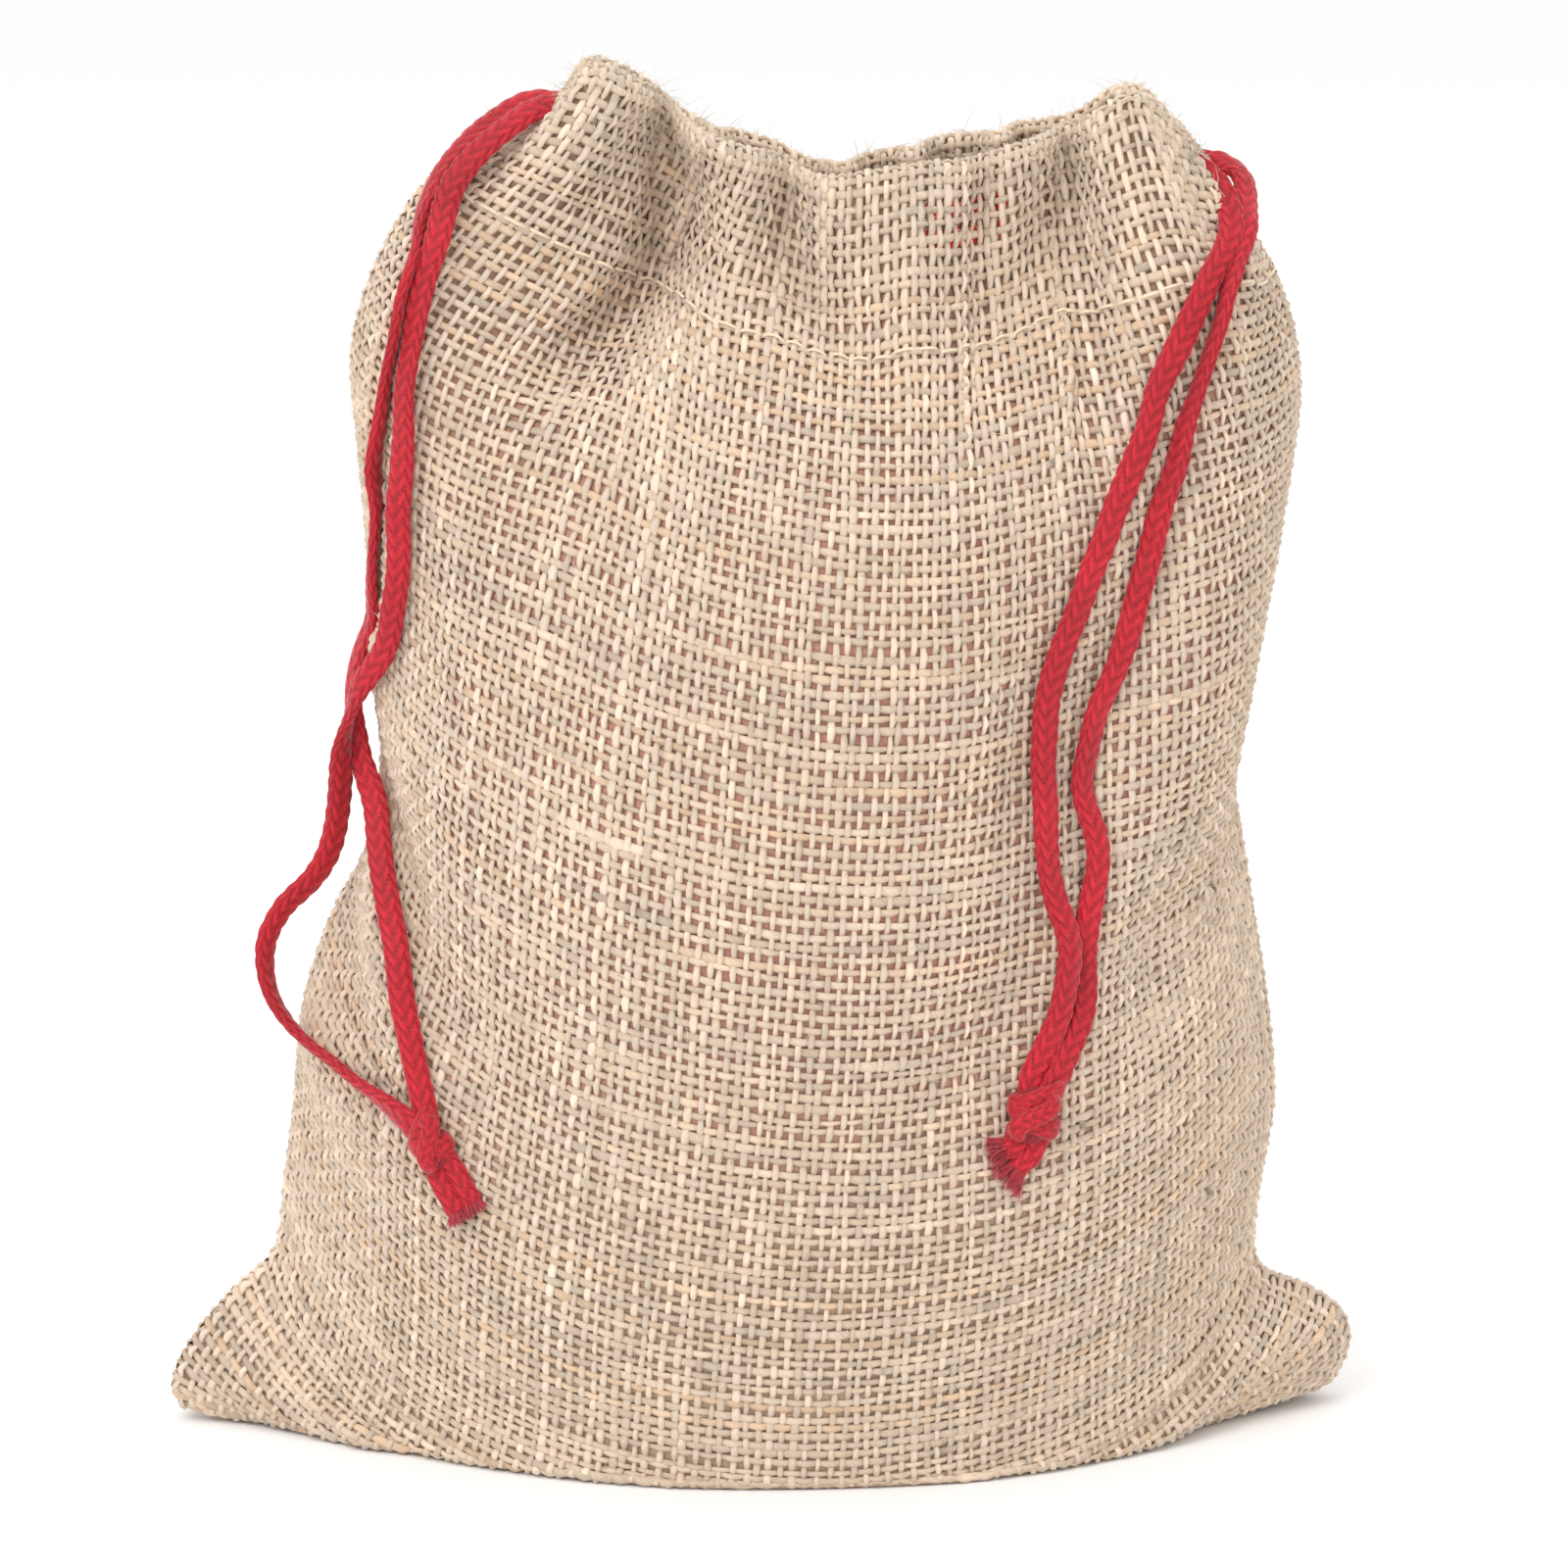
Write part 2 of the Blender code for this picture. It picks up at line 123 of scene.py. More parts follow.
def add_node(tree: bpy.types.NodeTree, kind: str, inputs: dict | None = None,
             **settings: object) -> bpy.types.Node:
    """Adds a shader node with its settings, values and links.

    Args:
        tree: The node tree that gets it.
        kind: The node's type name.
        inputs: Socket name or index to a value, or to the output socket that feeds it.
        settings: Values of the node's own properties.

    Returns:
        The new node.
    """
    node = tree.nodes.new(kind)
    for name, value in settings.items():
        setattr(node, name, value)
    for socket, value in (inputs or {}).items():
        if isinstance(value, bpy.types.NodeSocket):
            tree.links.new(value, node.inputs[socket])
        else:
            node.inputs[socket].default_value = value
    return node


def smooth_line(points: Array, steps: int) -> Array:
    """The Catmull-Rom curve through points: cubic runs whose slopes are half the chord between neighbours.

    Args:
        points: The corners, one a row.
        steps: How many steps each run is cut into.

    Returns:
        Points along the curve, both ends included.
    """
    p = np.vstack([2 * points[0] - points[1], points, 2 * points[-1] - points[-2]])
    t = np.linspace(0, 1, steps, endpoint=False)[:, None, None]
    a, b, c, d = p[:-3], p[1:-2], p[2:-1], p[3:]
    runs = 0.5 * (2 * b + (c - a) * t + (2 * a - 5 * b + 4 * c - d) * t**2 + (3 * b - a - 3 * c + d) * t**3)
    return np.vstack([runs.transpose(1, 0, 2).reshape(-1, points.shape[1]), points[-1:]])


def walk(points: Array, shares: Array) -> Array:
    """Points at shares of a line's length, on straight runs between its corners."""
    steps = np.linalg.norm(np.diff(points, axis=0), axis=1)
    length = np.concatenate([[0], np.cumsum(steps)])
    return np.stack([np.interp(shares * length[-1], length, points[:, i]) for i in range(points.shape[1])], 1)


def line_length(points: Array) -> float:
    """Length of a line through points."""
    return float(np.linalg.norm(np.diff(points, axis=0), axis=1).sum())


def unit(v: Array) -> Array:
    """Vectors scaled to length one."""
    return v / (np.linalg.norm(v, axis=-1, keepdims=True) + 1e-12)


def drift(rng: np.random.Generator, count: int, length: int, reach: float) -> Array:
    """Smooth random rows: white noise blurred along each row by a bell curve, then scaled to a spread of one.

    Args:
        rng: The seeded source.
        count: How many rows.
        length: Samples in a row.
        reach: The bell curve's width in samples.

    Returns:
        An array of count rows.
    """
    half = int(3 * reach) + 1
    bell = np.exp(-0.5 * (np.arange(-half, half + 1) / reach) ** 2)
    bell /= np.sqrt((bell**2).sum())
    raw = rng.standard_normal((count, length + 2 * half))
    size = length + 4 * half
    blurred = np.fft.irfft(np.fft.rfft(raw, size, axis=1) * np.fft.rfft(bell, size), size, axis=1)
    return blurred[:, 2 * half:2 * half + length]


# ---------------------------------------------------------------- finishes


@dataclass(frozen=True)
class JuteYarn:
    """Undyed spun jute: dull, with streaks of fibre that wind round the thread, and a thin bloom of loose hair."""

    lay_mm: float = 4.0
    roughness: float = 0.86

    def material(self) -> bpy.types.Material:
        """Builds the material; the thread's own tone comes with the mesh as the colour attribute Tint."""
        made = bpy.data.materials.new("spun jute yarn")
        made.use_nodes = True
        tree = made.node_tree
        shader = tree.nodes["Principled BSDF"]
        tint = add_node(tree, "ShaderNodeAttribute", attribute_name="Tint")
        place = add_node(tree, "ShaderNodeUVMap", uv_map="Yarn")
        parts = add_node(tree, "ShaderNodeSeparateXYZ", {0: place.outputs["UV"]})
        # One turn of the fibres for each lay length: the angle round the thread grows with the way along it.
        turn = add_node(tree, "ShaderNodeMath", {0: parts.outputs[0], 1: 1 / self.lay_mm, 2: parts.outputs[1]},
                        operation="MULTIPLY_ADD")
        angle = add_node(tree, "ShaderNodeMath", {0: turn.outputs[0], 1: 2 * math.pi}, operation="MULTIPLY")
        east = add_node(tree, "ShaderNodeMath", {0: angle.outputs[0]}, operation="COSINE")
        north = add_node(tree, "ShaderNodeMath", {0: angle.outputs[0]}, operation="SINE")
        way = add_node(tree, "ShaderNodeMath", {0: parts.outputs[0], 1: 0.16}, operation="MULTIPLY")
        spot = add_node(tree, "ShaderNodeCombineXYZ",
                        {0: east.outputs[0], 1: north.outputs[0], 2: way.outputs[0]})
        fibres = add_node(tree, "ShaderNodeTexNoise",
                          {"Vector": spot.outputs[0], "Scale": 2.6, "Detail": 3.0, "Roughness": 0.6})
        tone = add_node(tree, "ShaderNodeMapRange",
                        {0: fibres.outputs[0], 1: 0.3, 2: 0.7, 3: 0.86, 4: 1.10})
        coloured = add_node(tree, "ShaderNodeVectorMath", {0: tint.outputs["Color"], "Scale": tone.outputs[0]},
                            operation="SCALE")
        bump = add_node(tree, "ShaderNodeBump", {"Strength": 0.5, "Distance": 0.12 * MM,
                                                 "Height": fibres.outputs[0]})
        tree.links.new(coloured.outputs[0], shader.inputs["Base Color"])
        tree.links.new(bump.outputs[0], shader.inputs["Normal"])
        shader.inputs["Roughness"].default_value = self.roughness
        shader.inputs["Specular IOR Level"].default_value = 0.25
        shader.inputs["Sheen Weight"].default_value = 0.22
        shader.inputs["Sheen Roughness"].default_value = 0.5
        return made


@dataclass(frozen=True)
class JuteFeltAndGapShade:
    """The mat of loose fibre on the cloth's inner side, a sheet that also stands in for the sack's dark inside: it
    fills the gaps between threads with a warm brown that is partly painted shade.
    """

    foot: str = "#cdb399"
    wall: str = "#cc9a88"
    # Darker at the mouth: painted shade of the gathered, doubled hem.
    mouth: str = "#aa8a73"
    patch_mm: float = 14.0

    def material(self) -> bpy.types.Material:
        """Builds the material: browns that change with height, from the foot's to the wall's and on to the darker
        mouth brown, which is painted shade, in soft patches, with a fine fibre grain.
        """
        made = bpy.data.materials.new("loose jute fibre mat")
        made.use_nodes = True
        tree = made.node_tree
        shader = tree.nodes["Principled BSDF"]
        place = add_node(tree, "ShaderNodeTexCoord")
        patches = add_node(tree, "ShaderNodeTexNoise",
                           {"Vector": place.outputs["Object"], "Scale": 1 / (self.patch_mm * MM), "Detail": 2.0})
        grain = add_node(tree, "ShaderNodeTexNoise",
                         {"Vector": place.outputs["Object"], "Scale": 1 / (0.6 * MM), "Detail": 3.0})
        both = add_node(tree, "ShaderNodeMath", {0: patches.outputs[0], 1: grain.outputs[0]}, operation="ADD")
        share = add_node(tree, "ShaderNodeMapRange", {0: both.outputs[0], 1: 0.75, 2: 1.25, 3: 0.78, 4: 1.12})
        height = add_node(tree, "ShaderNodeSeparateXYZ", {0: place.outputs["Object"]})
        low = add_node(tree, "ShaderNodeMapRange", {0: height.outputs[2], 1: 0.025, 2: 0.065})
        high = add_node(tree, "ShaderNodeMapRange", {0: height.outputs[2], 1: 0.135, 2: 0.170})
        wall = add_node(tree, "ShaderNodeMix", {0: low.outputs[0], 6: (*linear(self.foot), 1),
                                                7: (*linear(self.wall), 1)}, data_type="RGBA")
        # Painted shade: towards the rim the brown turns to the darker mouth brown.
        mouth = add_node(tree, "ShaderNodeMix", {0: high.outputs[0], 6: wall.outputs[2],
                                                 7: (*linear(self.mouth), 1)}, data_type="RGBA")
        colour = add_node(tree, "ShaderNodeVectorMath", {0: mouth.outputs[2], "Scale": share.outputs[0]},
                          operation="SCALE")
        bump = add_node(tree, "ShaderNodeBump", {"Strength": 0.6, "Distance": 0.2 * MM,
                                                 "Height": grain.outputs[0]})
        tree.links.new(colour.outputs[0], shader.inputs["Base Color"])
        tree.links.new(bump.outputs[0], shader.inputs["Normal"])
        shader.inputs["Roughness"].default_value = 0.95
        shader.inputs["Specular IOR Level"].default_value = 0.1
        return made


@dataclass(frozen=True)
class RedBraid:
    """Dyed cotton braid: saturated red plaits with a soft sheen, and painted shade down in the grooves between them.
    """

    roughness: float = 0.62

    def material(self) -> bpy.types.Material:
        """Builds the material; the plaits' painted light on the ridges and painted shade in the grooves come with the
        mesh as the colour attribute Tint.
        """
        made = bpy.data.materials.new("dyed cotton braid")
        made.use_nodes = True
        tree = made.node_tree
        shader = tree.nodes["Principled BSDF"]
        tint = add_node(tree, "ShaderNodeAttribute", attribute_name="Tint")
        place = add_node(tree, "ShaderNodeUVMap", uv_map="Yarn")
        stretch = add_node(tree, "ShaderNodeMapping", {"Vector": place.outputs["UV"], "Scale": (2.2, 22.0, 1.0)})
        fibres = add_node(tree, "ShaderNodeTexNoise",
                          {"Vector": stretch.outputs[0], "Scale": 1.0, "Detail": 3.0, "Roughness": 0.6})
        tone = add_node(tree, "ShaderNodeMapRange", {0: fibres.outputs[0], 1: 0.3, 2: 0.7, 3: 0.78, 4: 1.16})
        coloured = add_node(tree, "ShaderNodeVectorMath", {0: tint.outputs["Color"], "Scale": tone.outputs[0]},
                            operation="SCALE")
        bump = add_node(tree, "ShaderNodeBump", {"Strength": 0.4, "Distance": 0.1 * MM,
                                                 "Height": fibres.outputs[0]})
        tree.links.new(coloured.outputs[0], shader.inputs["Base Color"])
        tree.links.new(bump.outputs[0], shader.inputs["Normal"])
        shader.inputs["Roughness"].default_value = self.roughness
        shader.inputs["Specular IOR Level"].default_value = 0.3
        shader.inputs["Sheen Weight"].default_value = 0.35
        shader.inputs["Sheen Roughness"].default_value = 0.4
        return made


@dataclass(frozen=True)
class StudioPaper:
    """Matt white background paper: even and bright, so that only a soft contact shadow shows on it."""

    shade: str = "#fbfbfb"

    def material(self) -> bpy.types.Material:
        """Builds the material."""
        made = bpy.data.materials.new("matt white studio paper")
        made.use_nodes = True
        shader = made.node_tree.nodes["Principled BSDF"]
        shader.inputs["Base Color"].default_value = (*linear(self.shade), 1)
        shader.inputs["Roughness"].default_value = 0.9
        shader.inputs["Specular IOR Level"].default_value = 0.1
        return made


# ---------------------------------------------------------------- the cloth's shape


@dataclass(frozen=True)
class Crease:
    """A valley in the cloth where the filling gives way: a line up the front, its depth and its half width."""

    line: tuple  # (x, z) points
    depth: float
    half_width: float
    suck: float = 0.10

    def share(self, x: Array, z: Array) -> Array:
        """How much of the valley's depth each place gets: a bell across the line, fading at both of its ends."""
        points = walk(smooth_line(np.array(self.line, float), 8), np.linspace(0, 1, 24))
        fade = np.sin(math.pi * np.linspace(0.12, 0.97, 24)) ** 0.5
        far = (x[..., None] - points[:, 0]) ** 2 + (z[..., None] - points[:, 1]) ** 2
        return (np.exp(-far / self.half_width**2) * fade).max(-1)


@dataclass(frozen=True)
class Outline:
    """Outer shape of the filled, drawn sack: seam lines, filling and rim."""

    left_seam: tuple = (
        (-84, -7, 2.2), (-85.5, -7, 6), (-82.4, -5.5, 12.2), (-76.5, -3, 19), (-70.6, -1, 24.5), (-69, 0, 35.9),
        (-67.6, 0, 46), (-66.6, 0, 56), (-64.6, 0, 66.3), (-61, 0, 76), (-56.6, 0, 84), (-54, 0, 94.3),
        (-54.4, 0, 108.6), (-55, 0, 122.8), (-55.4, 0, 134), (-56.6, 0, 145.4), (-57.6, 0, 155.2),
        (-56, 0, 163.5), (-52, 0, 173), (-47, 0, 180.3), (-40, 0, 186), (-33, 0, 189.5), (-28.6, 0, 190.4))
    right_seam: tuple = (
        (84, 5, 2.2), (86.5, 6, 8), (85.5, 6, 13), (80, 4, 17.5), (72.6, 1.5, 22), (72.4, 0, 33), (74.4, 0, 46),
        (74, 0, 56), (72.6, 0, 66), (70.6, 0, 78), (68.6, 0, 90), (67.2, 0, 100), (67, 0, 108), (69, 0, 116),
        (72, 0, 128), (75, 0, 139.5), (76.4, 0, 150), (75.6, 0, 159), (73, 0, 167), (69, 0, 173.5),
        (65.6, 0, 179), (63, 0, 183.2))
    # Height, then half depth of the filled cloth, and how sharply its sides come to a point.
    depth: tuple = ((0, 27), (4, 30), (14, 31.5), (38, 32), (70, 32.5), (90, 33), (110, 33), (125, 31.5),
                    (140, 29), (152, 25), (162, 19))
    power: tuple = ((0, 2.2), (14, 1.9), (24, 1.4), (40, 1.1), (60, 1.0), (162, 1.0))
    rim: tuple = ((-28.6, 190.4), (-23.8, 196), (-15.6, 192.2), (-10.2, 187.5), (-3.3, 185), (2.1, 183.3),
                  (7.6, 180.6), (14.5, 181.2), (24, 182.6), (30.9, 183), (36, 185), (44.5, 187.4), (52, 192),
                  (58.2, 187.8), (63, 183.2))
    # Pleats of the gathered rim: place along the rim, depth and half width.
    front_pleats: tuple = ((-13.0, 13.0, 3.3), (4.2, 6.0, 3.2), (31.2, 3.5, 2.4), (43.2, 7.5, 3.0))
    back_pleats: tuple = ((-20.5, 5.0, 1.9), (-6.0, 6.5, 1.9), (12.0, 7.5, 2.0), (22.0, 7.0, 1.9),
                          (34.0, 7.0, 1.9), (52.0, 6.0, 1.9))

    front_creases: tuple = (
        Crease(((-13.0, 190), (-12.0, 180), (-13.5, 170), (-19.5, 162), (-28, 156)), 15.0, 4.6, 0.44),
        Crease(((4.2, 184), (3.6, 174), (7.0, 166), (15, 160)), 6.0, 3.4, 0.16),
        Crease(((31.5, 183), (29.5, 174), (25.5, 166)), 3.0, 2.6, 0.06),
        Crease(((43.2, 188), (41.5, 178), (38.0, 169), (32, 162)), 6.5, 3.2, 0.16),
        Crease(((76, 90), (58, 80), (42, 72), (30, 62)), 2.5, 8.0, 0.03),
        Crease(((-64, 84), (-54, 72), (-44, 62)), 1.5, 7.0, 0.02),
    )

    def seam(self, left: bool, shares: Array) -> Array:
        """The side seam from the bottom corner (share 0) to the rim (share 1)."""
        return walk(smooth_line(np.array(self.left_seam if left else self.right_seam, float), 12), shares)

    def table(self, name: str, z: Array) -> Array:
        """A size read from one of the (height, size) tables."""
        rows = np.array(getattr(self, name), float)
        return np.interp(z, rows[:, 0], rows[:, 1])

    def filling(self, x: Array, z: Array) -> Array:
        """Half depth of the filling: a lens between the seams, swollen in the middle and domed over at the top.

        Args:
            x: Places across the sack.
            z: Heights.

        Returns:
            The half depth at each place.
        """
        shares = np.linspace(0, 1, 400)
        left, right = self.seam(True, shares), self.seam(False, shares)
        lo = np.interp(z, np.maximum.accumulate(left[:, 2]), left[:, 0])
        hi = np.interp(z, np.maximum.accumulate(right[:, 2]), right[:, 0])
        centre, width = (lo + hi) / 2, (hi - lo) / 2
        across = np.clip(1 - ((x - centre) / (width - 1.5)) ** 2, 0, 1)
        dome = np.sqrt(np.clip(1 - (np.clip(z - 132, 0, None) / 40) ** 2, 0, 1))
        swell = 1 + 0.10 * np.exp(-(((x - 8) / 32) ** 2) - (((z - 75) / 60) ** 2))
        swell = swell + 0.22 * np.exp(-(((x - 10) / 24) ** 2) - (((z - 142) / 26) ** 2))
        return (self.table("depth", z) - 1) * across ** (0.5 * self.table("power", z)) * dome * swell

    def rim_curve(self, face: Face, shares: Array) -> Array:
        """The pleated rim: a ridge line with a narrow bell-shaped valley at each pleat, walked by its length."""
        x = np.linspace(-28.6, 63, 3000)
        middle = np.clip((x + 28.6) / 91.6, 0, 1)
        ridge = 3.2 + 8.3 * np.sin(math.pi * middle) ** 0.55
        pleats = self.front_pleats if face is Face.FRONT else self.back_pleats
        y = ridge - sum(d * np.exp(-(((x - place) / w) ** 2)) for place, d, w in pleats)
        ends = np.clip(np.minimum(x + 28.6, 63 - x) / 4, 0, 1)
        y = np.maximum(y, -3.0 if face is Face.FRONT else 5.0) * ends
        found = walk(np.stack([x, -face.value * y, np.zeros_like(x)], 1), shares)
        rows = smooth_line(np.array(self.rim, float), 8)
        found[:, 2] = np.interp(found[:, 0], rows[:, 0], rows[:, 1])
        if face is Face.BACK:
            found[:, 2] += 1.5 * np.exp(-(((found[:, 0] - 30) / 9) ** 2))
        return found


@dataclass
class ClothSolver:
    """Relaxes the sack's cloth, a closed grid of threads, over its filling.

    Most threads come close to their length.  Some stay stretched: in the deep fold, beside the side seams and,
    most of all, beside the bottom seam under the base.
    """

    outline: Outline
    weave: Weave
    lines: Array  # points along the cords that lie on the cloth
    cord_stand_off: float = 2.0

    def shape(self, rounds: int) -> Array:
        """The relaxed cloth on a grid with one point for each thread, front then back, closed round the sides.

        Args:
            rounds: Rounds on the coarse grid; the fine grid gets a quarter of them.

        Returns:
            An array of columns, rows and places.
        """
        coarse = self.relax(self.start(), 2 * self.weave.pitch, rounds, 0.012, 0.035)
        columns, rows = 2 * self.weave.warps, self.weave.wefts
        k, j = np.meshgrid(np.arange(columns) / 2, np.arange(rows + 1) / 2, indexing="ij")
        return self.relax(bicubic(coarse, k, j), self.weave.pitch, rounds // 4, 0.004, 0.03)

    def start(self) -> Array:
        """A first guess: flat base, lens-shaped walls, then shoulders that run in to the pleated rim."""
        columns, rows = self.weave.warps // 2, self.weave.wefts // 2
        grid = np.zeros((2 * columns, rows + 1, 3))
        grid[: columns + 1] = self.start_face(Face.FRONT, columns, rows)
        grid[columns + 1:] = self.start_face(Face.BACK, columns, rows)[1:-1][::-1]
        return grid

    def start_face(self, face: Face, columns: int, rows: int) -> Array:
        """One panel's share of the first guess.

        Args:
            face: The panel.
            columns: Cells from the left seam to the right one.
            rows: Cells from the bottom seam to the rim.

        Returns:
            The panel's points.
        """
        up = np.linspace(0, 1, rows + 1)
        left, right = self.outline.seam(True, up), self.outline.seam(False, up)
        u, cell = np.linspace(0, 1, columns + 1), 2 * self.weave.pitch
        rim = self.outline.rim_curve(face, u)
        seam_x = np.linspace(left[0, 0], right[0, 0], columns + 1)
        seam_y = np.interp(seam_x, [-84, 0, 84], [-7, 0, 5])
        reach, length = 28 * np.sin(math.pi * u) ** 0.9, cell * rows
        turns = np.linspace(0, math.pi, 400)
        ends = np.sin(math.pi * u) ** 0.25
        out = np.zeros((columns + 1, rows + 1, 3))
        for j in range(rows + 1):
            walked, lo, hi = j * cell, left[j], right[j]
            z = 0.8 + np.clip((walked - reach) / (length - reach), 0, 1) * (rim[:, 2] - 0.8)
            level = float(np.median(z))
            depth, power = self.outline.table("depth", level), self.outline.table("power", level)
            line = np.stack([(lo[0] + hi[0]) / 2 - (hi[0] - lo[0]) / 2 * np.cos(turns),
                             depth * np.abs(np.sin(turns)) ** power], 1)
            x, y = walk(line, u).T
            top = np.clip((level - 132) / 48, 0, 1)
            top = top * top * (3 - 2 * top)
            mix = np.clip((walked - reach) / 20, 0, 1)
            x = (1 - mix) * seam_x + mix * ((1 - top) * x + top * rim[:, 0])
            y = (1 - top) * y + top * np.abs(rim[:, 1])
            flat = walked < reach
            y = np.where(flat, np.clip(walked / np.maximum(reach, 1e-6), 0, 1) * reach, y)
            z = np.where(flat, 0.8, z)
            z = (1 - ends) * ((1 - u) * lo[2] + u * hi[2]) + ends * z
            sway = ((1 - u) * lo[1] + u * hi[1]) * (1 - ends) + seam_y * ends * (z < 2)
            out[:, j] = np.stack([x, -face.value * y + sway, z], 1)
        out[0], out[-1], out[:, -1] = left, right, rim
        return out

    def relax(self, grid: Array, cell: float, rounds: int, push: float, bend: float) -> Array:
        """Pulls the threads towards their length, round by round, with pressure, weight, stiffness, filling and floor.

        Args:
            grid: The cloth's points.
            cell: Rest length of a cell's side.
            rounds: How many rounds.
            push: Outward step of the filling's pressure in one round.
            bend: Share of the way to its neighbours' middle that a point moves in one round.

        Returns:
            The relaxed points.
        """
        p, free = grid.copy(), np.ones(grid.shape[:2])
        count, half, last = p.shape[0], p.shape[0] // 2, p.shape[1] - 1
        free[0] = free[half] = 0
        free[:, 0] = free[:, -1] = 0
        facing = np.where(np.arange(count) > half, -1.0, 1.0)
        facing[[0, half]] = 0
        loose, suction = free[..., None], np.zeros(grid.shape[:2])
        self.give = np.zeros(grid.shape[:2])
        for turn in range(rounds):
            if turn % 40 == 0:
                front = (facing > 0)[:, None] * 1.0
                shares = [c.share(p[..., 0], p[..., 2]) * front for c in self.outline.front_creases]
                suction = sum(share * c.suck for share, c in zip(shares, self.outline.front_creases))
                self.give = sum(share * c.depth for share, c in zip(shares, self.outline.front_creases))
            room = np.clip((172 - p[..., 2]) / 20, 0, 1) * push
            p += loose * (self.normals(p) * room[..., None] - np.array([0, 0, 0.02]))
            p[..., 1] += free * suction
            for odd in (0, 1):
                a = np.arange(odd, count, 2)
                self.pull(p, free, np.ix_(a, np.arange(last + 1)), np.ix_((a + 1) % count, np.arange(last + 1)),
                          cell * 0.985)
                b = np.arange(odd, last, 2)
                self.pull(p, free, np.ix_(np.arange(count), b), np.ix_(np.arange(count), b + 1), cell)
            if turn % 2 == 0:
                self.shear(p, loose, cell)
            smooth = (np.roll(p, 1, 0) + np.roll(p, -1, 0)) / 2 - p
            smooth[:, 1:-1] += (p[:, 2:] + p[:, :-2]) / 2 - p[:, 1:-1]
            p += loose * bend * smooth
            if turn % 4 == 0 or turn == rounds - 1:
                self.keep_out(p, free, facing)
        return p

    def keep_out(self, p: Array, free: Array, facing: Array) -> None:
        """Keeps the cloth outside its filling, above the floor, on its side of the mouth and under the cords.

        Args:
            p: The cloth's points, moved in place.
            free: 1 where a point may move.
            facing: 1 for the front's columns and -1 for the back's.
        """
        x, y, z = p[..., 0], p[..., 1], p[..., 2]
        fill = self.outline.filling(x, z) - self.give
        fill = np.maximum(fill, np.where(z > 150, 1.6 - 0.8 * self.give, 0.3))
        side = facing[:, None]
        short = fill + side * y
        y = np.where((side != 0) & (short > 0), y - side * short * 0.5, y)
        gap = np.full(x.shape, 1e9)
        target = np.zeros(x.shape)
        for start in range(0, len(self.lines), 40):
            part = self.lines[start:start + 40]
            far = (x[..., None] - part[:, 0]) ** 2 + (z[..., None] - part[:, 2]) ** 2
            best = far.argmin(-1)
            near = np.take_along_axis(far, best[..., None], -1)[..., 0]
            closer = near < gap
            gap = np.where(closer, near, gap)
            target = np.where(closer, part[best, 1] + self.cord_stand_off, target)
        pull = np.exp(-gap / 9.0) * (side > 0) * 0.5
        y = y + pull * (target - y)
        p[..., 1] = np.where(free > 0, y, p[..., 1])
        p[..., 2] = np.where(free > 0, np.maximum(z, 0.8), z)

    @staticmethod
    def pull(p: Array, free: Array, a: tuple, b: tuple, rest: float) -> None:
        """Moves pairs of points along the line between them to their rest distance; low down, a short pair yields.

        Args:
            p: The cloth's points, moved in place.
            free: 1 where a point may move.
            a: Index of each pair's first point.
            b: Index of each pair's second point.
            rest: The rest distance.
        """
        pa, pb, wa, wb = p[a], p[b], free[a], free[b]
        gap = pb - pa
        size = np.linalg.norm(gap, axis=-1) + 1e-9
        firm = np.where(size > rest, 1.0, np.clip((pa[..., 2] - 128) / 60, 0.10, 0.40))
        move = gap * (firm * (size - rest) / size / np.maximum(wa + wb, 1e-9))[..., None]
        p[a] = pa + wa[..., None] * move
        p[b] = pb - wb[..., None] * move

    @staticmethod
    def shear(p: Array, loose: Array, cell: float) -> None:
        """A light pull on both diagonals of every cell, because hessian shears easily."""
        rest, change, right = cell * math.sqrt(2), np.zeros_like(p), np.roll(p, -1, 0)
        for one, two, a, b in ((p[:, :-1], right[:, 1:], slice(0, -1), slice(1, None)),
                               (p[:, 1:], right[:, :-1], slice(1, None), slice(0, -1))):
            gap = two - one
            size = np.linalg.norm(gap, axis=-1) + 1e-9
            move = gap * (0.06 * (size - rest) / size)[..., None]
            change[:, a] += move
            back = np.zeros_like(p)
            back[:, b] = -move
            change += np.roll(back, 1, 0)
        p += loose * change

    @staticmethod
    def normals(p: Array) -> Array:
        """Outward unit normals of the closed grid, from the cross product of its central differences."""
        return unit(np.cross(np.roll(p, -1, 0) - np.roll(p, 1, 0), np.gradient(p, axis=1)))


def bicubic(grid: Array, k: Array, j: Array) -> Array:
    """Catmull-Rom surface through a grid that closes on itself in its first direction.

    Args:
        grid: Values on the grid.
        k: Places along the closed direction, in cells.
        j: Places along the other direction, in cells.

    Returns:
        The value at each place.
    """
    k0, j0 = np.floor(k).astype(int), np.minimum(np.floor(j).astype(int), grid.shape[1] - 2)
    padded = np.concatenate([2 * grid[:, :1] - grid[:, 1:2], grid, 2 * grid[:, -1:] - grid[:, -2:-1]], 1)
    shares = []
    for t in (k - k0, j - j0):
        shares.append((0.5 * (-t + 2 * t**2 - t**3), 0.5 * (2 - 5 * t**2 + 3 * t**3),
                       0.5 * (t + 4 * t**2 - 3 * t**3), 0.5 * (-(t**2) + t**3)))
    return sum((shares[0][a] * shares[1][b])[..., None] * padded[(k0 + a - 1) % grid.shape[0], j0 + b]
               for a in range(4) for b in range(4))


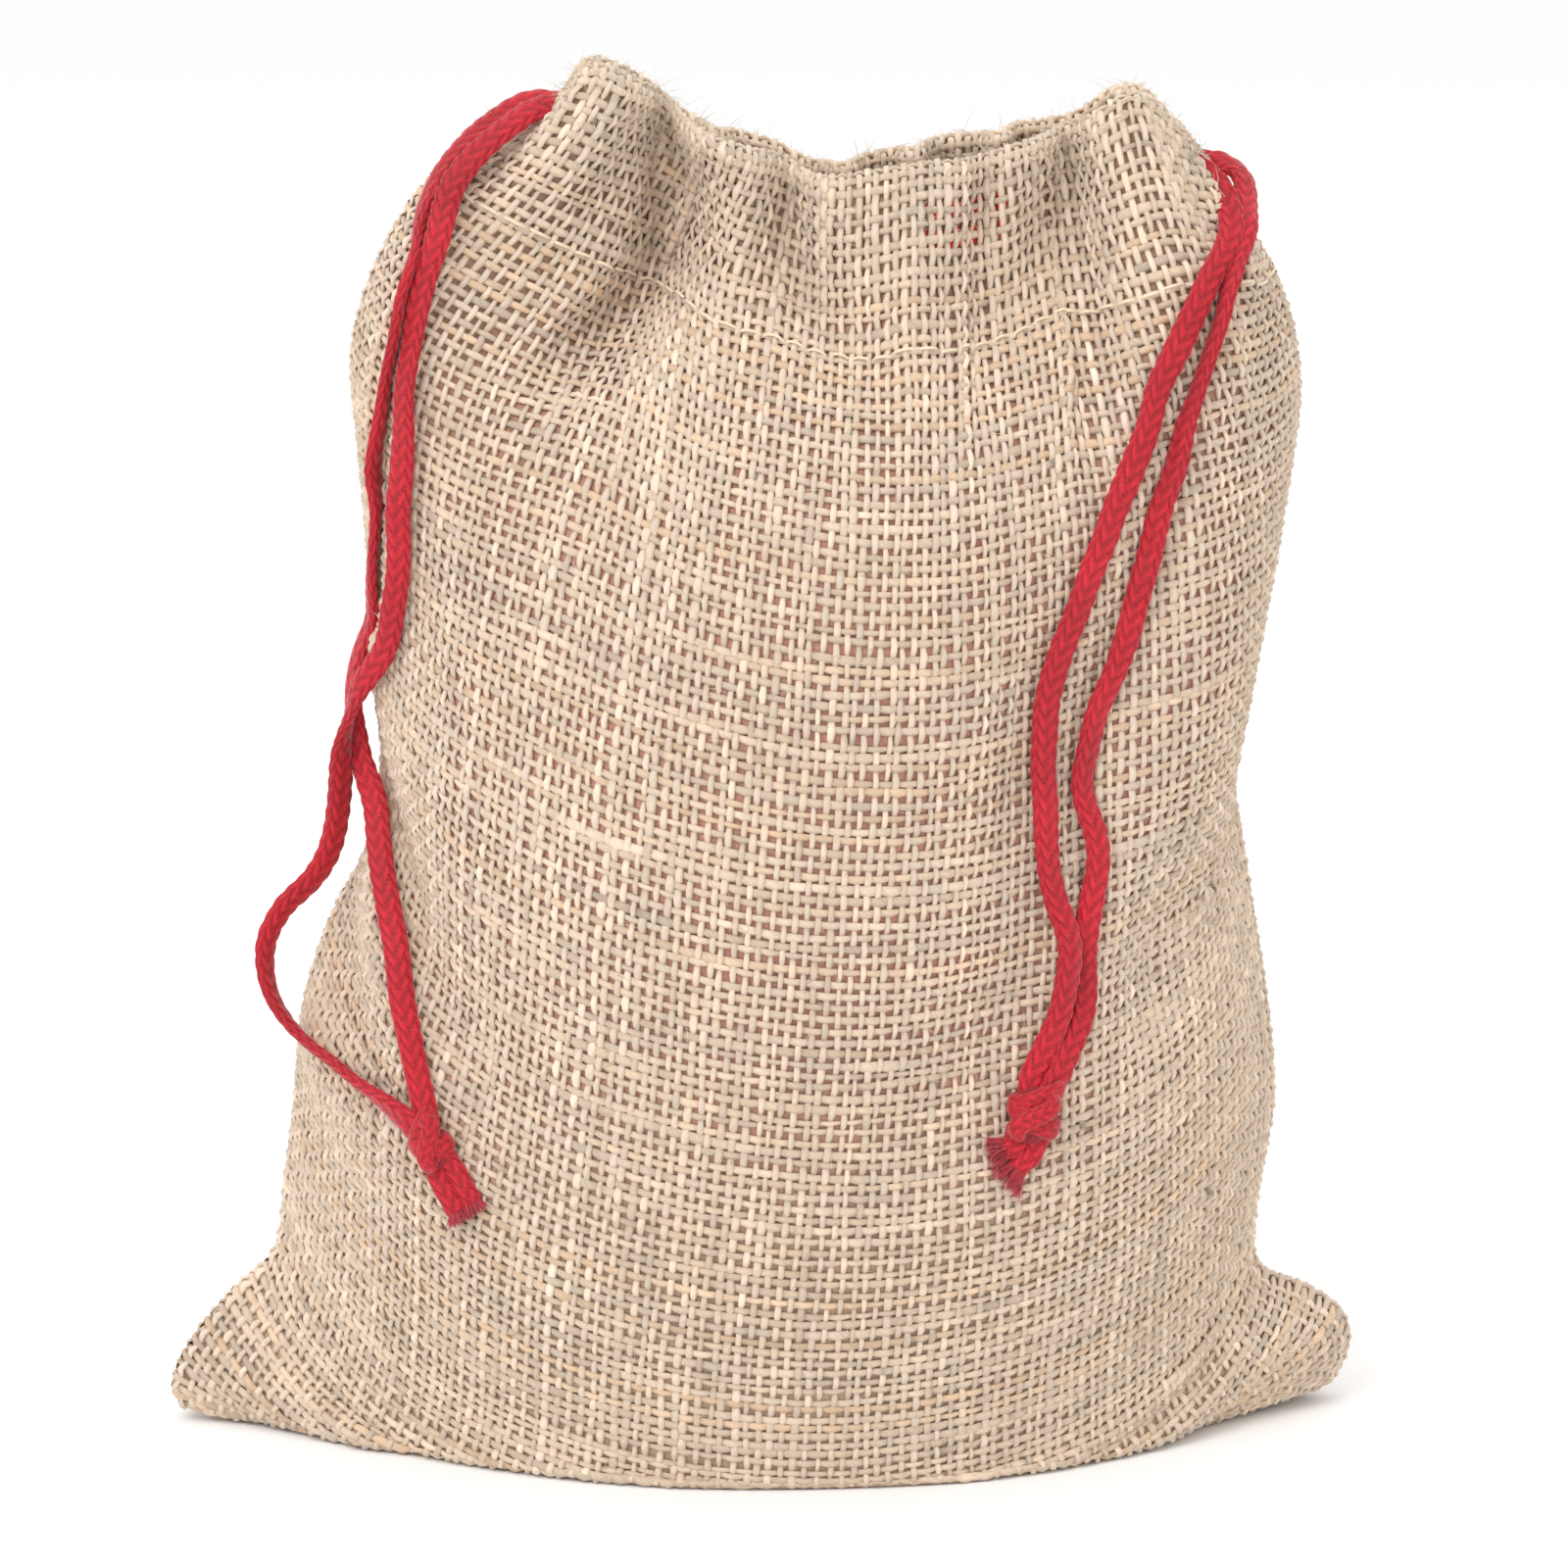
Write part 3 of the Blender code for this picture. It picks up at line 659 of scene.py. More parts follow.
@dataclass
class SackCloth:
    """The relaxed cloth as a surface that threads, felt, stitches and hairs are laid on."""

    weave: Weave
    grid: Array
    fold_depth: float = 3.0
    closing_warps: float = 9.0  # over which the fold closes up at a side seam
    closed_share: float = 0.08  # of the fold's depth, left at the seam itself

    def __post_init__(self) -> None:
        """Works out the grid's normals."""
        self.normal_grid = ClothSolver.normals(self.grid)

    def at(self, face: Face, u: Array, v: Array) -> tuple[Array, Array]:
        """Place and outward normal on a panel, over the rim's fold and down the turned-in hem.

        The outside is the relaxed grid.  The fold is half a circle in depth and height, and the hem is the
        outside again, moved in by the fold's depth, with its normal turned to the mouth.  The fold closes
        up over the last warps before each side seam, where the two panels meet.

        Args:
            face: The panel.
            u: Warps from the left seam.
            v: Wefts from the bottom seam.

        Returns:
            The places and the unit normals.
        """
        w = self.weave
        over = np.clip((v - w.wefts) / w.fold_wefts, 0, 1)
        row = np.where(v <= w.wefts, v, w.wefts - np.clip(v - w.wefts - w.fold_wefts, 0, None))
        column = u if face is Face.FRONT else (2 * w.warps - u) % (2 * w.warps)
        place = bicubic(self.grid, column, row)
        normal = unit(bicubic(self.normal_grid, column, row))
        angle = math.pi * over
        to_seam = np.minimum(u, w.warps - u) / self.closing_warps
        radius = self.fold_depth / 2 * np.clip(to_seam, self.closed_share, 1)
        place[..., 1] += face.value * radius * (1 - np.cos(angle))
        place[..., 2] += radius * np.sin(angle)
        lift = np.zeros_like(normal)
        lift[..., 2] = np.sin(angle)
        return place, unit(normal * np.cos(angle)[..., None] + lift)

    def nearest_normal(self, points: Array) -> Array:
        """The front panel's outward normal nearest to each point."""
        front = self.grid[: self.weave.warps + 1].reshape(-1, 3)
        normals = self.normal_grid[: self.weave.warps + 1].reshape(-1, 3)
        best = [int(((front - point) ** 2).sum(1).argmin()) for point in points]
        return normals[best]


# ---------------------------------------------------------------- threads and meshes


@dataclass
class Threads:
    """A bundle of threads of one length: flattened tubes round their centre lines."""

    centres: Array  # threads, rings, 3
    normals: Array  # threads, rings, 3
    half_widths: Array  # threads, rings
    half_thicks: Array  # threads, rings
    tints: Array  # threads, rings, 3, in linear light, with sides before the 3 where they differ
    sides: int = 5
    relief: Array | None = None  # threads, rings, sides: share added to the radius
    squareness: float = 1.0

    def rings(self) -> Array:
        """Points round every ring: an ellipse, squared off by a power, across and along the normal."""
        tangent = unit(np.gradient(self.centres, axis=1))
        across = unit(np.cross(tangent, self.normals))
        lift = np.cross(across, tangent)
        angle = np.linspace(0, 2 * math.pi, self.sides, endpoint=False)
        c, s = np.cos(angle), np.sin(angle)
        c, s = np.sign(c) * np.abs(c) ** self.squareness, np.sign(s) * np.abs(s) ** self.squareness
        swell = 1.0 if self.relief is None else 1 + self.relief[..., None]
        return (self.centres[:, :, None]
                + across[:, :, None] * (self.half_widths[..., None] * c)[..., None] * swell
                + lift[:, :, None] * (self.half_thicks[..., None] * s)[..., None] * swell)


@dataclass
class MeshParts:
    """What goes into one mesh: points, four-sided faces, and the patterns' places and tints."""

    points: list
    faces: list
    yarn: list
    bake: list
    tints: list
    count: int = 0

    @staticmethod
    def empty() -> "MeshParts":
        """Nothing yet."""
        return MeshParts([], [], [], [], [])

    def add(self, bundle: Threads, cells: Array, step: float, band: tuple[float, float],
            capped: bool = False) -> None:
        """Adds the cells of a bundle that a mask picks out.

        Args:
            bundle: The threads.
            cells: True for each stretch between two rings that is wanted, by thread.
            step: Length of a stretch, for the pattern along the thread.
            band: Lowest and highest place of this bundle in the bake map.
            capped: Whether both ends of every thread are closed.
        """
        t, k = np.nonzero(cells)
        if not len(t):
            return
        rings, n, s = bundle.centres.shape[1], bundle.sides, np.arange(bundle.sides)
        points = bundle.rings()
        if capped:
            closed = 1e-3  # size of an end's last ring, as a share of the thread's
            for ring in (0, -1):
                middle = points[:, ring].mean(1, keepdims=True)
                points[:, ring] = middle + (points[:, ring] - middle) * closed
        base = (t * rings + k)[:, None] * n
        near, far = base + s, base + (s + 1) % n
        faces = np.stack([near, near + n, far + n, far], -1).reshape(-1, 4)
        used, index = np.unique(faces, return_inverse=True)
        self.points.append(points.reshape(-1, 3)[used])
        self.faces.append(index.reshape(-1, 4) + self.count)
        self.count += len(used)
        tint = bundle.tints if bundle.tints.ndim == 4 else np.repeat(bundle.tints[:, :, None], n, 2)
        self.tints.append(tint.reshape(-1, 3)[used])
        along = np.stack([k, k + 1, k + 1, k], -1)[:, None] * np.ones((1, n, 1))
        around = np.stack([s, s, s + 1, s + 1], -1)[None] / n * np.ones((len(t), 1, 1))
        self.yarn.append(np.stack([along * step, around], -1).reshape(-1, 2))
        low, high = k.min(), k.max() + 1
        kinds, row = np.unique(t, return_inverse=True)
        up = band[0] + (row[:, None, None] + 0.02 + 0.96 * around) / len(kinds) * (band[1] - band[0])
        self.bake.append(np.stack([(along - low) / (high - low), up], -1).reshape(-1, 2))

    def build(self, name: str, material: bpy.types.Material) -> bpy.types.Object:
        """Makes the mesh object, in metres and shaded smooth.

        Args:
            name: The piece's name.
            material: Its material.

        Returns:
            The object.
        """
        points, faces = np.concatenate(self.points) * MM, np.concatenate(self.faces)
        mesh = bpy.data.meshes.new(name)
        mesh.from_pydata(points.tolist(), [], faces.tolist(), shade_flat=False)
        for layer, values in (("Yarn", self.yarn), ("OFBake", self.bake)):
            places = np.concatenate(values).astype(np.float32).ravel()
            mesh.uv_layers.new(name=layer).data.foreach_set("uv", places)
        tint = mesh.color_attributes.new("Tint", "FLOAT_COLOR", "POINT")
        rgba = np.ones((len(points), 4), np.float32)
        rgba[:, :3] = np.concatenate(self.tints)
        tint.data.foreach_set("color", rgba.ravel())
        mesh.materials.append(material)
        thing = bpy.data.objects.new(name, mesh)
        bpy.context.scene.collection.objects.link(thing)
        return thing


@dataclass
class Mouth:
    """Cuts the mouth into thirds across the sack, and places the pieces of the wall and of the mouth."""

    low: float = 150.0
    rise: float = 25.0
    left: float = 1.0
    right: float = 39.0
    slant: float = 1.38

    def zone(self, x: Array) -> Array:
        """Which third of the mouth each place across the sack belongs to: 0, 1 or 2."""
        return (x >= self.left).astype(int) + (x >= self.right)

    def attach(self, thing: bpy.types.Object, face: Face, zone: Zone) -> None:
        """Makes a piece of the wall ride on the bag; a piece of the mouth keeps its place, with its transform baked
        into its mesh.

        Args:
            thing: The piece.
            face: Its panel; not used.
            zone: Its stretch.
        """
        if zone in (Zone.FOOT, Zone.WAIST, Zone.CHEST):
            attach(thing, "bag")
            return
        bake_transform(thing)


@dataclass
class Panel:
    """One hessian panel: its warps and wefts as real threads, the fibre mat behind them, which also stands in as
    painted shade for the inside seen through the gaps, and the loose hairs.
    """

    face: Face
    cloth: SackCloth
    mouth: Mouth
    yarn: bpy.types.Material
    felt: bpy.types.Material
    warp_half_width: float = 0.50
    weft_half_width: float = 0.55
    half_thick: float = 0.34
    warp_wave: float = 0.40
    weft_wave: float = 0.26
    cuts: tuple = (36, 71, 104)
    warp_tones: tuple = ("#dfcbb6", "#dbc6b0", "#ddc9b4", "#d8c3ad", "#e1cebb")
    weft_tones: tuple = ("#d3bea8", "#d0baa3", "#cbb8a4", "#d5bda3", "#d4b799", "#cab7a3", "#d6c2ad")
    hair_tones: tuple = ("#f0e2c8", "#e3d0b0", "#f6ecd8", "#c9ad86")
    felt_depth: float = 0.42
    wall_hairs: int = 4200
    rim_hairs: int = 2000
    rim_hair_share: float = 0.62  # length of a rim hair, as a share of a wall hair's
    hair_radius: float = 0.034

    def tones(self, rng: np.random.Generator, codes: tuple, threads: int, rings: int) -> Array:
        """Colour along each thread: its own mix of the yarn's tones, drifting slowly, with darker flecks."""
        palette = np.array([linear(code) for code in codes])
        which = rng.integers(0, len(codes), (threads, 2))
        mix = 1 / (1 + np.exp(-1.5 * drift(rng, threads, rings, 14)))[..., None]
        colour = palette[which[:, :1]] * mix + palette[which[:, 1:]] * (1 - mix)
        shade = np.exp(0.035 * rng.standard_normal((threads, 1)) + 0.075 * drift(rng, threads, rings, 2.2)
                       + 0.035 * drift(rng, threads, rings, 20))
        flecks = np.clip(drift(rng, threads, rings, 1.2) - 2.6, 0, 1) * 0.6
        return colour * (shade * (1 - flecks))[..., None]

    def threads(self) -> tuple[Threads, Threads]:
        """The panel's warps and wefts.

        Each thread follows the cloth at its own column or row.  It rises by its wave where it crosses over and
        sinks where it goes under, and over and under swap from each crossing to the next and from each thread
        to its neighbour.  Widths, tones and places wander at random, and two wefts have thick slubs.

        Returns:
            The warps, then the wefts.
        """
        w, rng = self.cloth.weave, np.random.default_rng(7 if self.face is Face.FRONT else 8)
        rings_v, rings_u = 2 * w.rows + 1, 2 * w.warps + 1
        columns = np.arange(w.warps) + 0.5 + 0.07 * rng.standard_normal(w.warps)
        rows = np.arange(w.rows) + 0.5 + 0.07 * rng.standard_normal(w.rows)
        u = np.clip(columns[:, None] + 0.09 * drift(rng, w.warps, rings_v, 5), 0.15, w.warps - 0.15)
        v = np.broadcast_to(np.arange(rings_v) / 2, u.shape)
        place, normal = self.cloth.at(self.face, u, v)
        i, k = np.indices(u.shape)
        over = np.where(k % 2 == 1, (-1.0) ** (i + (k - 1) // 2), 0)
        warp = Threads(place + normal * (self.warp_wave * over)[..., None], normal,
                       self.widths(rng, self.warp_half_width, over, w.warps, rings_v),
                       self.half_thick * np.exp(0.08 * drift(rng, w.warps, rings_v, 4)),
                       self.tones(rng, self.warp_tones, w.warps, rings_v))
        v = np.clip(rows[:, None] + 0.10 * drift(rng, w.rows, rings_u, 6), 0.1, w.rows)
        u = np.broadcast_to(np.arange(rings_u) / 2, v.shape)
        place, normal = self.cloth.at(self.face, u, v)
        j, k = np.indices(u.shape)
        over = np.where(k % 2 == 1, -((-1.0) ** (j + (k - 1) // 2)), 0)
        width = self.widths(rng, self.weft_half_width, over, w.rows, rings_u)
        thick = self.half_thick * np.exp(0.10 * drift(rng, w.rows, rings_u, 4))
        tones = self.tones(rng, self.weft_tones, w.rows, rings_u)
        if self.face is Face.FRONT:
            self.slub(width, thick, tones, 82, 26, 90, 1.6)
            self.slub(width, thick, tones, 67, 56, 64, 1.9)
            self.slub(width, thick, tones, 118, 70, 79, 1.3)
        weft = Threads(place + normal * (self.weft_wave * over)[..., None], normal, width, thick, tones)
        return warp, weft

    @staticmethod
    def widths(rng: np.random.Generator, half: float, over: Array, threads: int, rings: int) -> Array:
        """Half widths along threads: each thread's own size, drifting, a little wider where it lies on top."""
        own = np.exp(0.08 * rng.standard_normal((threads, 1)) + 0.11 * drift(rng, threads, rings, 5)
                     + 0.06 * drift(rng, threads, rings, 1.5))
        return np.clip(half * own * (1 + 0.06 * over), 0.3, 0.85)

    @staticmethod
    def slub(width: Array, thick: Array, tones: Array, row: int, start: int, end: int, swell: float) -> None:
        """Thickens a weft between two warps, as a lump of unspun fibre does, with tapered ends."""
        k = np.arange(width.shape[1]) / 2
        share = np.clip(np.minimum(k - start, end - k) / 4, 0, 1)
        width[row] *= 1 + (swell - 1) * share
        thick[row] *= 1 + 0.25 * share
        tones[row] *= (1 + 0.08 * share)[:, None]

    def zones(self, row: Array, x: Array) -> Array:
        """Number of the zone that a place belongs to, from its row and its place across the sack."""
        low = sum((row >= cut).astype(int) for cut in self.cuts)
        return np.where(low == 3, 3 + self.mouth.zone(x), low)

    def weave_pieces(self) -> list[bpy.types.Object]:
        """The threads, as one piece for each zone."""
        warp, weft = self.threads()
        w = self.cloth.weave
        middle = (warp.centres[:, 1:, 0] + warp.centres[:, :-1, 0]) / 2
        row = np.broadcast_to((np.arange(2 * w.rows) + 0.5) / 2, middle.shape)
        of_warp = self.zones(row, middle)
        middle = (weft.centres[:, 1:, 0] + weft.centres[:, :-1, 0]) / 2
        row = np.broadcast_to((np.arange(w.rows) + 0.5)[:, None], middle.shape)
        of_weft = self.zones(row, middle)
        made = []
        for number, zone in enumerate(Zone):
            parts = MeshParts.empty()
            parts.add(warp, of_warp == number, w.pitch / 2, (0.0, 0.49))
            parts.add(weft, of_weft == number, w.pitch / 2, (0.51, 1.0))
            thing = parts.build(f"{self.face.word}_weave_{zone.value}", self.yarn)
            self.mouth.attach(thing, self.face, zone)
            made.append(thing)
        return made

    def felt_pieces(self) -> list[bpy.types.Object]:
        """The fibre mat, which also stands in as painted shade for the inside seen through the gaps: the cloth's
        surface moved in by most of a thread, one sheet for each zone.
        """
        w = self.cloth.weave
        edges = [0, *self.cuts, w.rows]
        made = []
        for number, zone in enumerate(Zone):
            low, high = (edges[number], edges[number + 1]) if number < 3 else (edges[3], edges[4])
            v, u = np.meshgrid(np.arange(low, high + 0.01, 1.0), np.arange(w.warps + 1.0), indexing="ij")
            place, normal = self.cloth.at(self.face, u, v)
            place = place - normal * self.felt_depth
            index = np.arange(u.size).reshape(u.shape)
            faces = np.stack([index[:-1, :-1], index[:-1, 1:], index[1:, 1:], index[1:, :-1]], -1)
            if self.face is Face.BACK:
                faces = faces[..., ::-1]
            if number >= 3:
                x = (place[:-1, :-1, 0] + place[1:, 1:, 0]) / 2
                faces = faces[self.mouth.zone(x) == number - 3]
            faces = faces.reshape(-1, 4)
            used, faces = np.unique(faces, return_inverse=True)
            mesh = bpy.data.meshes.new(f"{self.face.word}_felt_{zone.value}")
            mesh.from_pydata((place.reshape(-1, 3)[used] * MM).tolist(), [], faces.reshape(-1, 4).tolist(),
                             shade_flat=False)
            mesh.materials.append(self.felt)
            thing = bpy.data.objects.new(mesh.name, mesh)
            bpy.context.scene.collection.objects.link(thing)
            self.mouth.attach(thing, self.face, zone)
            made.append(thing)
        return made

    def hair_pieces(self) -> list[bpy.types.Object]:
        """Loose hairs: short curved fibres that leave the threads at a slant, thickest along the rim."""
        w, rng = self.cloth.weave, np.random.default_rng(17 if self.face is Face.FRONT else 18)
        body, rim = self.wall_hairs, self.rim_hairs
        u = rng.uniform(1, w.warps - 1, body + rim)
        v = np.concatenate([rng.uniform(2, w.wefts + 1, body), w.wefts + rng.normal(1.3, 3.5, rim)])
        v = np.clip(v, 2, w.rows - 1)
        place, normal = self.cloth.at(self.face, u, v)
        ahead, _ = self.cloth.at(self.face, u, v + 0.2)
        up = unit(ahead - place)
        side = np.cross(up, normal)
        count, segments = len(u), 5
        heading = rng.uniform(0, 2 * math.pi, count)
        flat = up * np.cos(heading)[:, None] + side * np.sin(heading)[:, None]
        lift = np.abs(rng.normal(0.15, 0.2, count)) + np.where(np.arange(count) >= body, 0.2, 0)
        length = np.clip(rng.gamma(2.2, 0.9, count), 0.8, 6.5)
        length = length * np.where(np.arange(count) >= body, self.rim_hair_share, 1)
        curl = rng.normal(0, 1.3, (2, count))
        t = np.linspace(0, 1, segments)[None, :, None]
        turn = unit(np.cross(normal, flat))
        path = (place[:, None] + normal[:, None] * 0.45
                + flat[:, None] * (length[:, None, None] * t)
                + turn[:, None] * (curl[0] * length * 0.35)[:, None, None] * t**2
                + normal[:, None] * (length[:, None, None] * (lift[:, None, None] * t
                                                              - 0.22 * np.abs(curl[1])[:, None, None] * t**2)))
        path[..., 2] = np.maximum(path[..., 2], 0.6)
        radius = np.broadcast_to(np.array([1, 1, 0.9, 0.7, 0.35]) * self.hair_radius, (count, segments))
        tones = np.array([linear(code) for code in self.hair_tones])
        tone = tones[rng.integers(0, 4, count)]
        hairs = Threads(path, np.broadcast_to(normal[:, None], path.shape), radius, radius,
                        np.broadcast_to(tone[:, None], path.shape), sides=3)
        of_hair = self.zones(v, place[:, 0])
        names = {0: (0, 1, 2), 3: (3,), 4: (4,), 5: (5,)}
        made = []
        for number, wanted in names.items():
            zone = list(Zone)[number]
            parts = MeshParts.empty()
            cells = np.broadcast_to(np.isin(of_hair, wanted)[:, None], (count, segments - 1))
            parts.add(hairs, cells, 1.0, (0.0, 1.0))
            word = "wall" if number == 0 else zone.value
            thing = parts.build(f"{self.face.word}_hairs_{word}", self.yarn)
            self.mouth.attach(thing, self.face, zone)
            made.append(thing)
        return made

    def build(self) -> None:
        """Builds the panel and hides the CAD parts that its weave stands for."""
        weave, felt, hairs = self.weave_pieces(), self.felt_pieces(), self.hair_pieces()
        word = self.face.word
        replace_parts(weave[0], word + "_panel")
        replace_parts(weave[3], word + "_left_corner")
        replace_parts(weave[4], word + "_casing")
        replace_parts(weave[5], word + "_right_corner")


@dataclass
class HemStitching:
    """The lockstitch that sews a panel's turned-in hem down, one thread dash for each stitch."""

    face: Face
    cloth: SackCloth
    mouth: Mouth
    material: bpy.types.Material
    row: float = 125.5
    stitch: float = 1.9
    tone: str = "#ead9bb"

    def build(self) -> None:
        """Builds the dashes: short arcs that rise out of the cloth and go back in."""
        w = self.cloth.weave
        starts = np.arange(1.5, w.warps - 2, self.stitch * 1.25)
        t = np.linspace(0, 1, 6)
        u = starts[:, None] + t * self.stitch
        rng = np.random.default_rng(5)
        v = np.broadcast_to(self.row + 0.12 * rng.standard_normal((len(starts), 1)), u.shape)
        place, normal = self.cloth.at(self.face, u, v)
        place = place + normal * (0.30 + 0.62 * np.sin(math.pi * t) ** 0.6)[None, :, None]
        size = np.full(u.shape, 0.24)
        tint = np.broadcast_to(np.array(linear(self.tone)), place.shape)
        dashes = Threads(place, normal, size, size * 0.9, tint, sides=6)
        zone = self.mouth.zone(place[:, :1, 0])
        for number, name in enumerate((Zone.MOUTH_LEFT, Zone.MOUTH_MIDDLE, Zone.MOUTH_RIGHT)):
            parts = MeshParts.empty()
            parts.add(dashes, np.broadcast_to(zone == number, (len(starts), 5)), 0.6, (0.0, 1.0))
            thing = parts.build(f"{self.face.word}_hem_stitching_{name.value}", self.material)
            if number == 1:
                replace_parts(thing, self.face.word + "_hem_stitching")
            self.mouth.attach(thing, self.face, name)
        LOG.info("%s hem stitching: %d stitches", self.face.word, len(starts))


# ---------------------------------------------------------------- seams, cords and knots


@dataclass
class SeamStrip:
    """The turned-in edges along a seam, inside the sack: a narrow woven strip and its row of thread."""

    name: str
    edge: Array  # points along the seam
    inward: Array  # unit vectors from the seam into the sack
    flat: Array  # unit normals of the strip
    yarn: bpy.types.Material
    width: float = 6.0
    stand_off: float = 1.6

    def build(self, replaced: str, sewn: str) -> None:
        """Builds the strip's threads, four along it and one across for each weft, and its stitches.

        Args:
            replaced: CAD node that the strip stands for.
            sewn: CAD node that the stitches stand for.
        """
        rng = np.random.default_rng(len(self.name))
        count = len(self.edge)
        offsets = self.stand_off + (np.arange(4) + 0.5) * self.width / 4
        j = np.arange(count)
        over = (-1.0) ** (np.arange(4)[:, None] + j[None])
        along = (self.edge[None] + self.inward[None] * offsets[:, None, None]
                 + (over * 0.3)[..., None] * self.flat)
        normals = np.broadcast_to(self.flat, along.shape)
        size = np.full(along.shape[:2], 0.5)
        tone = np.array([linear(code) for code in ("#d9c19c", "#c9b496", "#cdb591")])
        tint = np.broadcast_to(tone[rng.integers(0, 3, 4)][:, None], along.shape)
        lengthwise = Threads(along, normals, size, size * 0.7, tint)
        reach = self.stand_off + np.linspace(0, self.width, 9)
        wave = -((-1.0) ** (np.arange(9)[None] // 2 + j[:, None])) * (np.arange(9)[None] % 2) * 0.3
        across = (self.edge[:, None] + self.inward[:, None] * reach[None, :, None]
                  + wave[..., None] * self.flat[:, None])
        size = np.full(across.shape[:2], 0.45)
        tint = np.broadcast_to(tone[rng.integers(0, 3, count)][:, None], across.shape)
        crosswise = Threads(across, np.broadcast_to(self.flat[:, None], across.shape), size, size * 0.7, tint)
        parts = MeshParts.empty()
        parts.add(lengthwise, np.ones((4, count - 1), bool), 1.8, (0.0, 0.49), capped=True)
        parts.add(crosswise, np.ones((count, 8), bool), 0.75, (0.51, 1.0), capped=True)
        strip = parts.build(self.name + "_woven", self.yarn)
        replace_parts(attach(strip, "bag"), replaced)
        t = np.linspace(0, 1, 6)
        starts = np.arange(1, count - 3, 2)
        spot = np.arange(count)
        line = self.edge + self.inward * (self.stand_off + self.width / 2)
        u = starts[:, None] + 1.5 * t
        path = np.stack([np.interp(u, spot, line[:, i]) for i in range(3)], -1)
        normal = unit(np.stack([np.interp(u, spot, self.flat[:, i]) for i in range(3)], -1))
        path = path + normal * (0.3 + 0.55 * np.sin(math.pi * t) ** 0.6)[None, :, None]
        size = np.full(u.shape, 0.24)
        dashes = Threads(path, normal, size, size, np.broadcast_to(np.array(linear("#ead9bb")), path.shape))
        parts = MeshParts.empty()
        parts.add(dashes, np.ones((len(starts), 5), bool), 0.6, (0.0, 1.0), capped=True)
        sewing = parts.build(self.name + "_stitches", self.yarn)
        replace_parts(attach(sewing, "bag"), sewn)
        LOG.info("%s: %d stitches", self.name, len(starts))


@dataclass
class Braid:
    """A flat braided cord: rows of slanting plaits that meet in V shapes, round a squared-off oval."""

    half_width: float = 1.80
    half_thick: float = 0.78
    sides: int = 32
    step: float = 0.28
    plaits: int = 8
    plait_pitch: float = 2.3
    plait_rise: float = 0.30
    colour: str = "#c0202e"

    def threads(self, line: Array, normals: Array, narrow: Array | float = 1.0) -> Threads:
        """Lays the braid along a line.

        The plaits' relief is a rounded ridge along lines whose place along the cord shifts with the way across
        their column, one way in even columns and the other way in odd ones.  The tint carries painted shade: it is
        darkened in the grooves and a little lightened on the ridge tops.

        Args:
            line: Points along the centre, a step apart.
            normals: Unit normals of the flat side.
            narrow: Share of the full width at each point.

        Returns:
            The braid as a bundle of one thread.
        """
        count = len(line)
        way = np.arange(count) * self.step
        around = np.arange(self.sides) / self.sides * self.plaits
        column, place = np.floor(around), around - np.floor(around)
        slant = np.where(column % 2 == 0, place, 1 - place) * 0.95
        phase = way[:, None] / self.plait_pitch + slant[None] + 0.5 * (column[None] % 2)
        ridge = np.abs(np.sin(math.pi * phase)) ** 0.7 * (0.55 + 0.45 * np.sin(math.pi * place))[None]
        flat = self.plait_rise * (ridge - 0.6) / self.half_thick
        angle = np.abs(np.sin(np.arange(self.sides) / self.sides * 2 * math.pi))
        relief = flat * (0.45 + 0.55 * angle)[None]
        rng = np.random.default_rng(count)
        wander = 1 + 0.035 * drift(rng, 1, count, 12)[0]
        # Painted shade and light: dark in the grooves and bright on the ridges, times a slow random tone along the
        # cord.
        shade = (0.42 + 0.74 * ridge) * (1 + 0.06 * drift(rng, 1, count, 9)[0])[:, None]
        tint = np.array(linear(self.colour)) * shade[..., None]
        return Threads(line[None], normals[None], (self.half_width * wander * narrow)[None],
                       np.broadcast_to(self.half_thick * np.asarray(narrow), (count,))[None] * 1.0,
                       tint[None], sides=self.sides, relief=relief[None], squareness=0.8)

    def even(self, points: Array) -> Array:
        """Points a step apart along the smooth curve through a route's points."""
        fine = smooth_line(np.array(points, float), 24)
        count = int(line_length(fine) / self.step)
        return walk(fine, np.linspace(0, 1, count + 1))


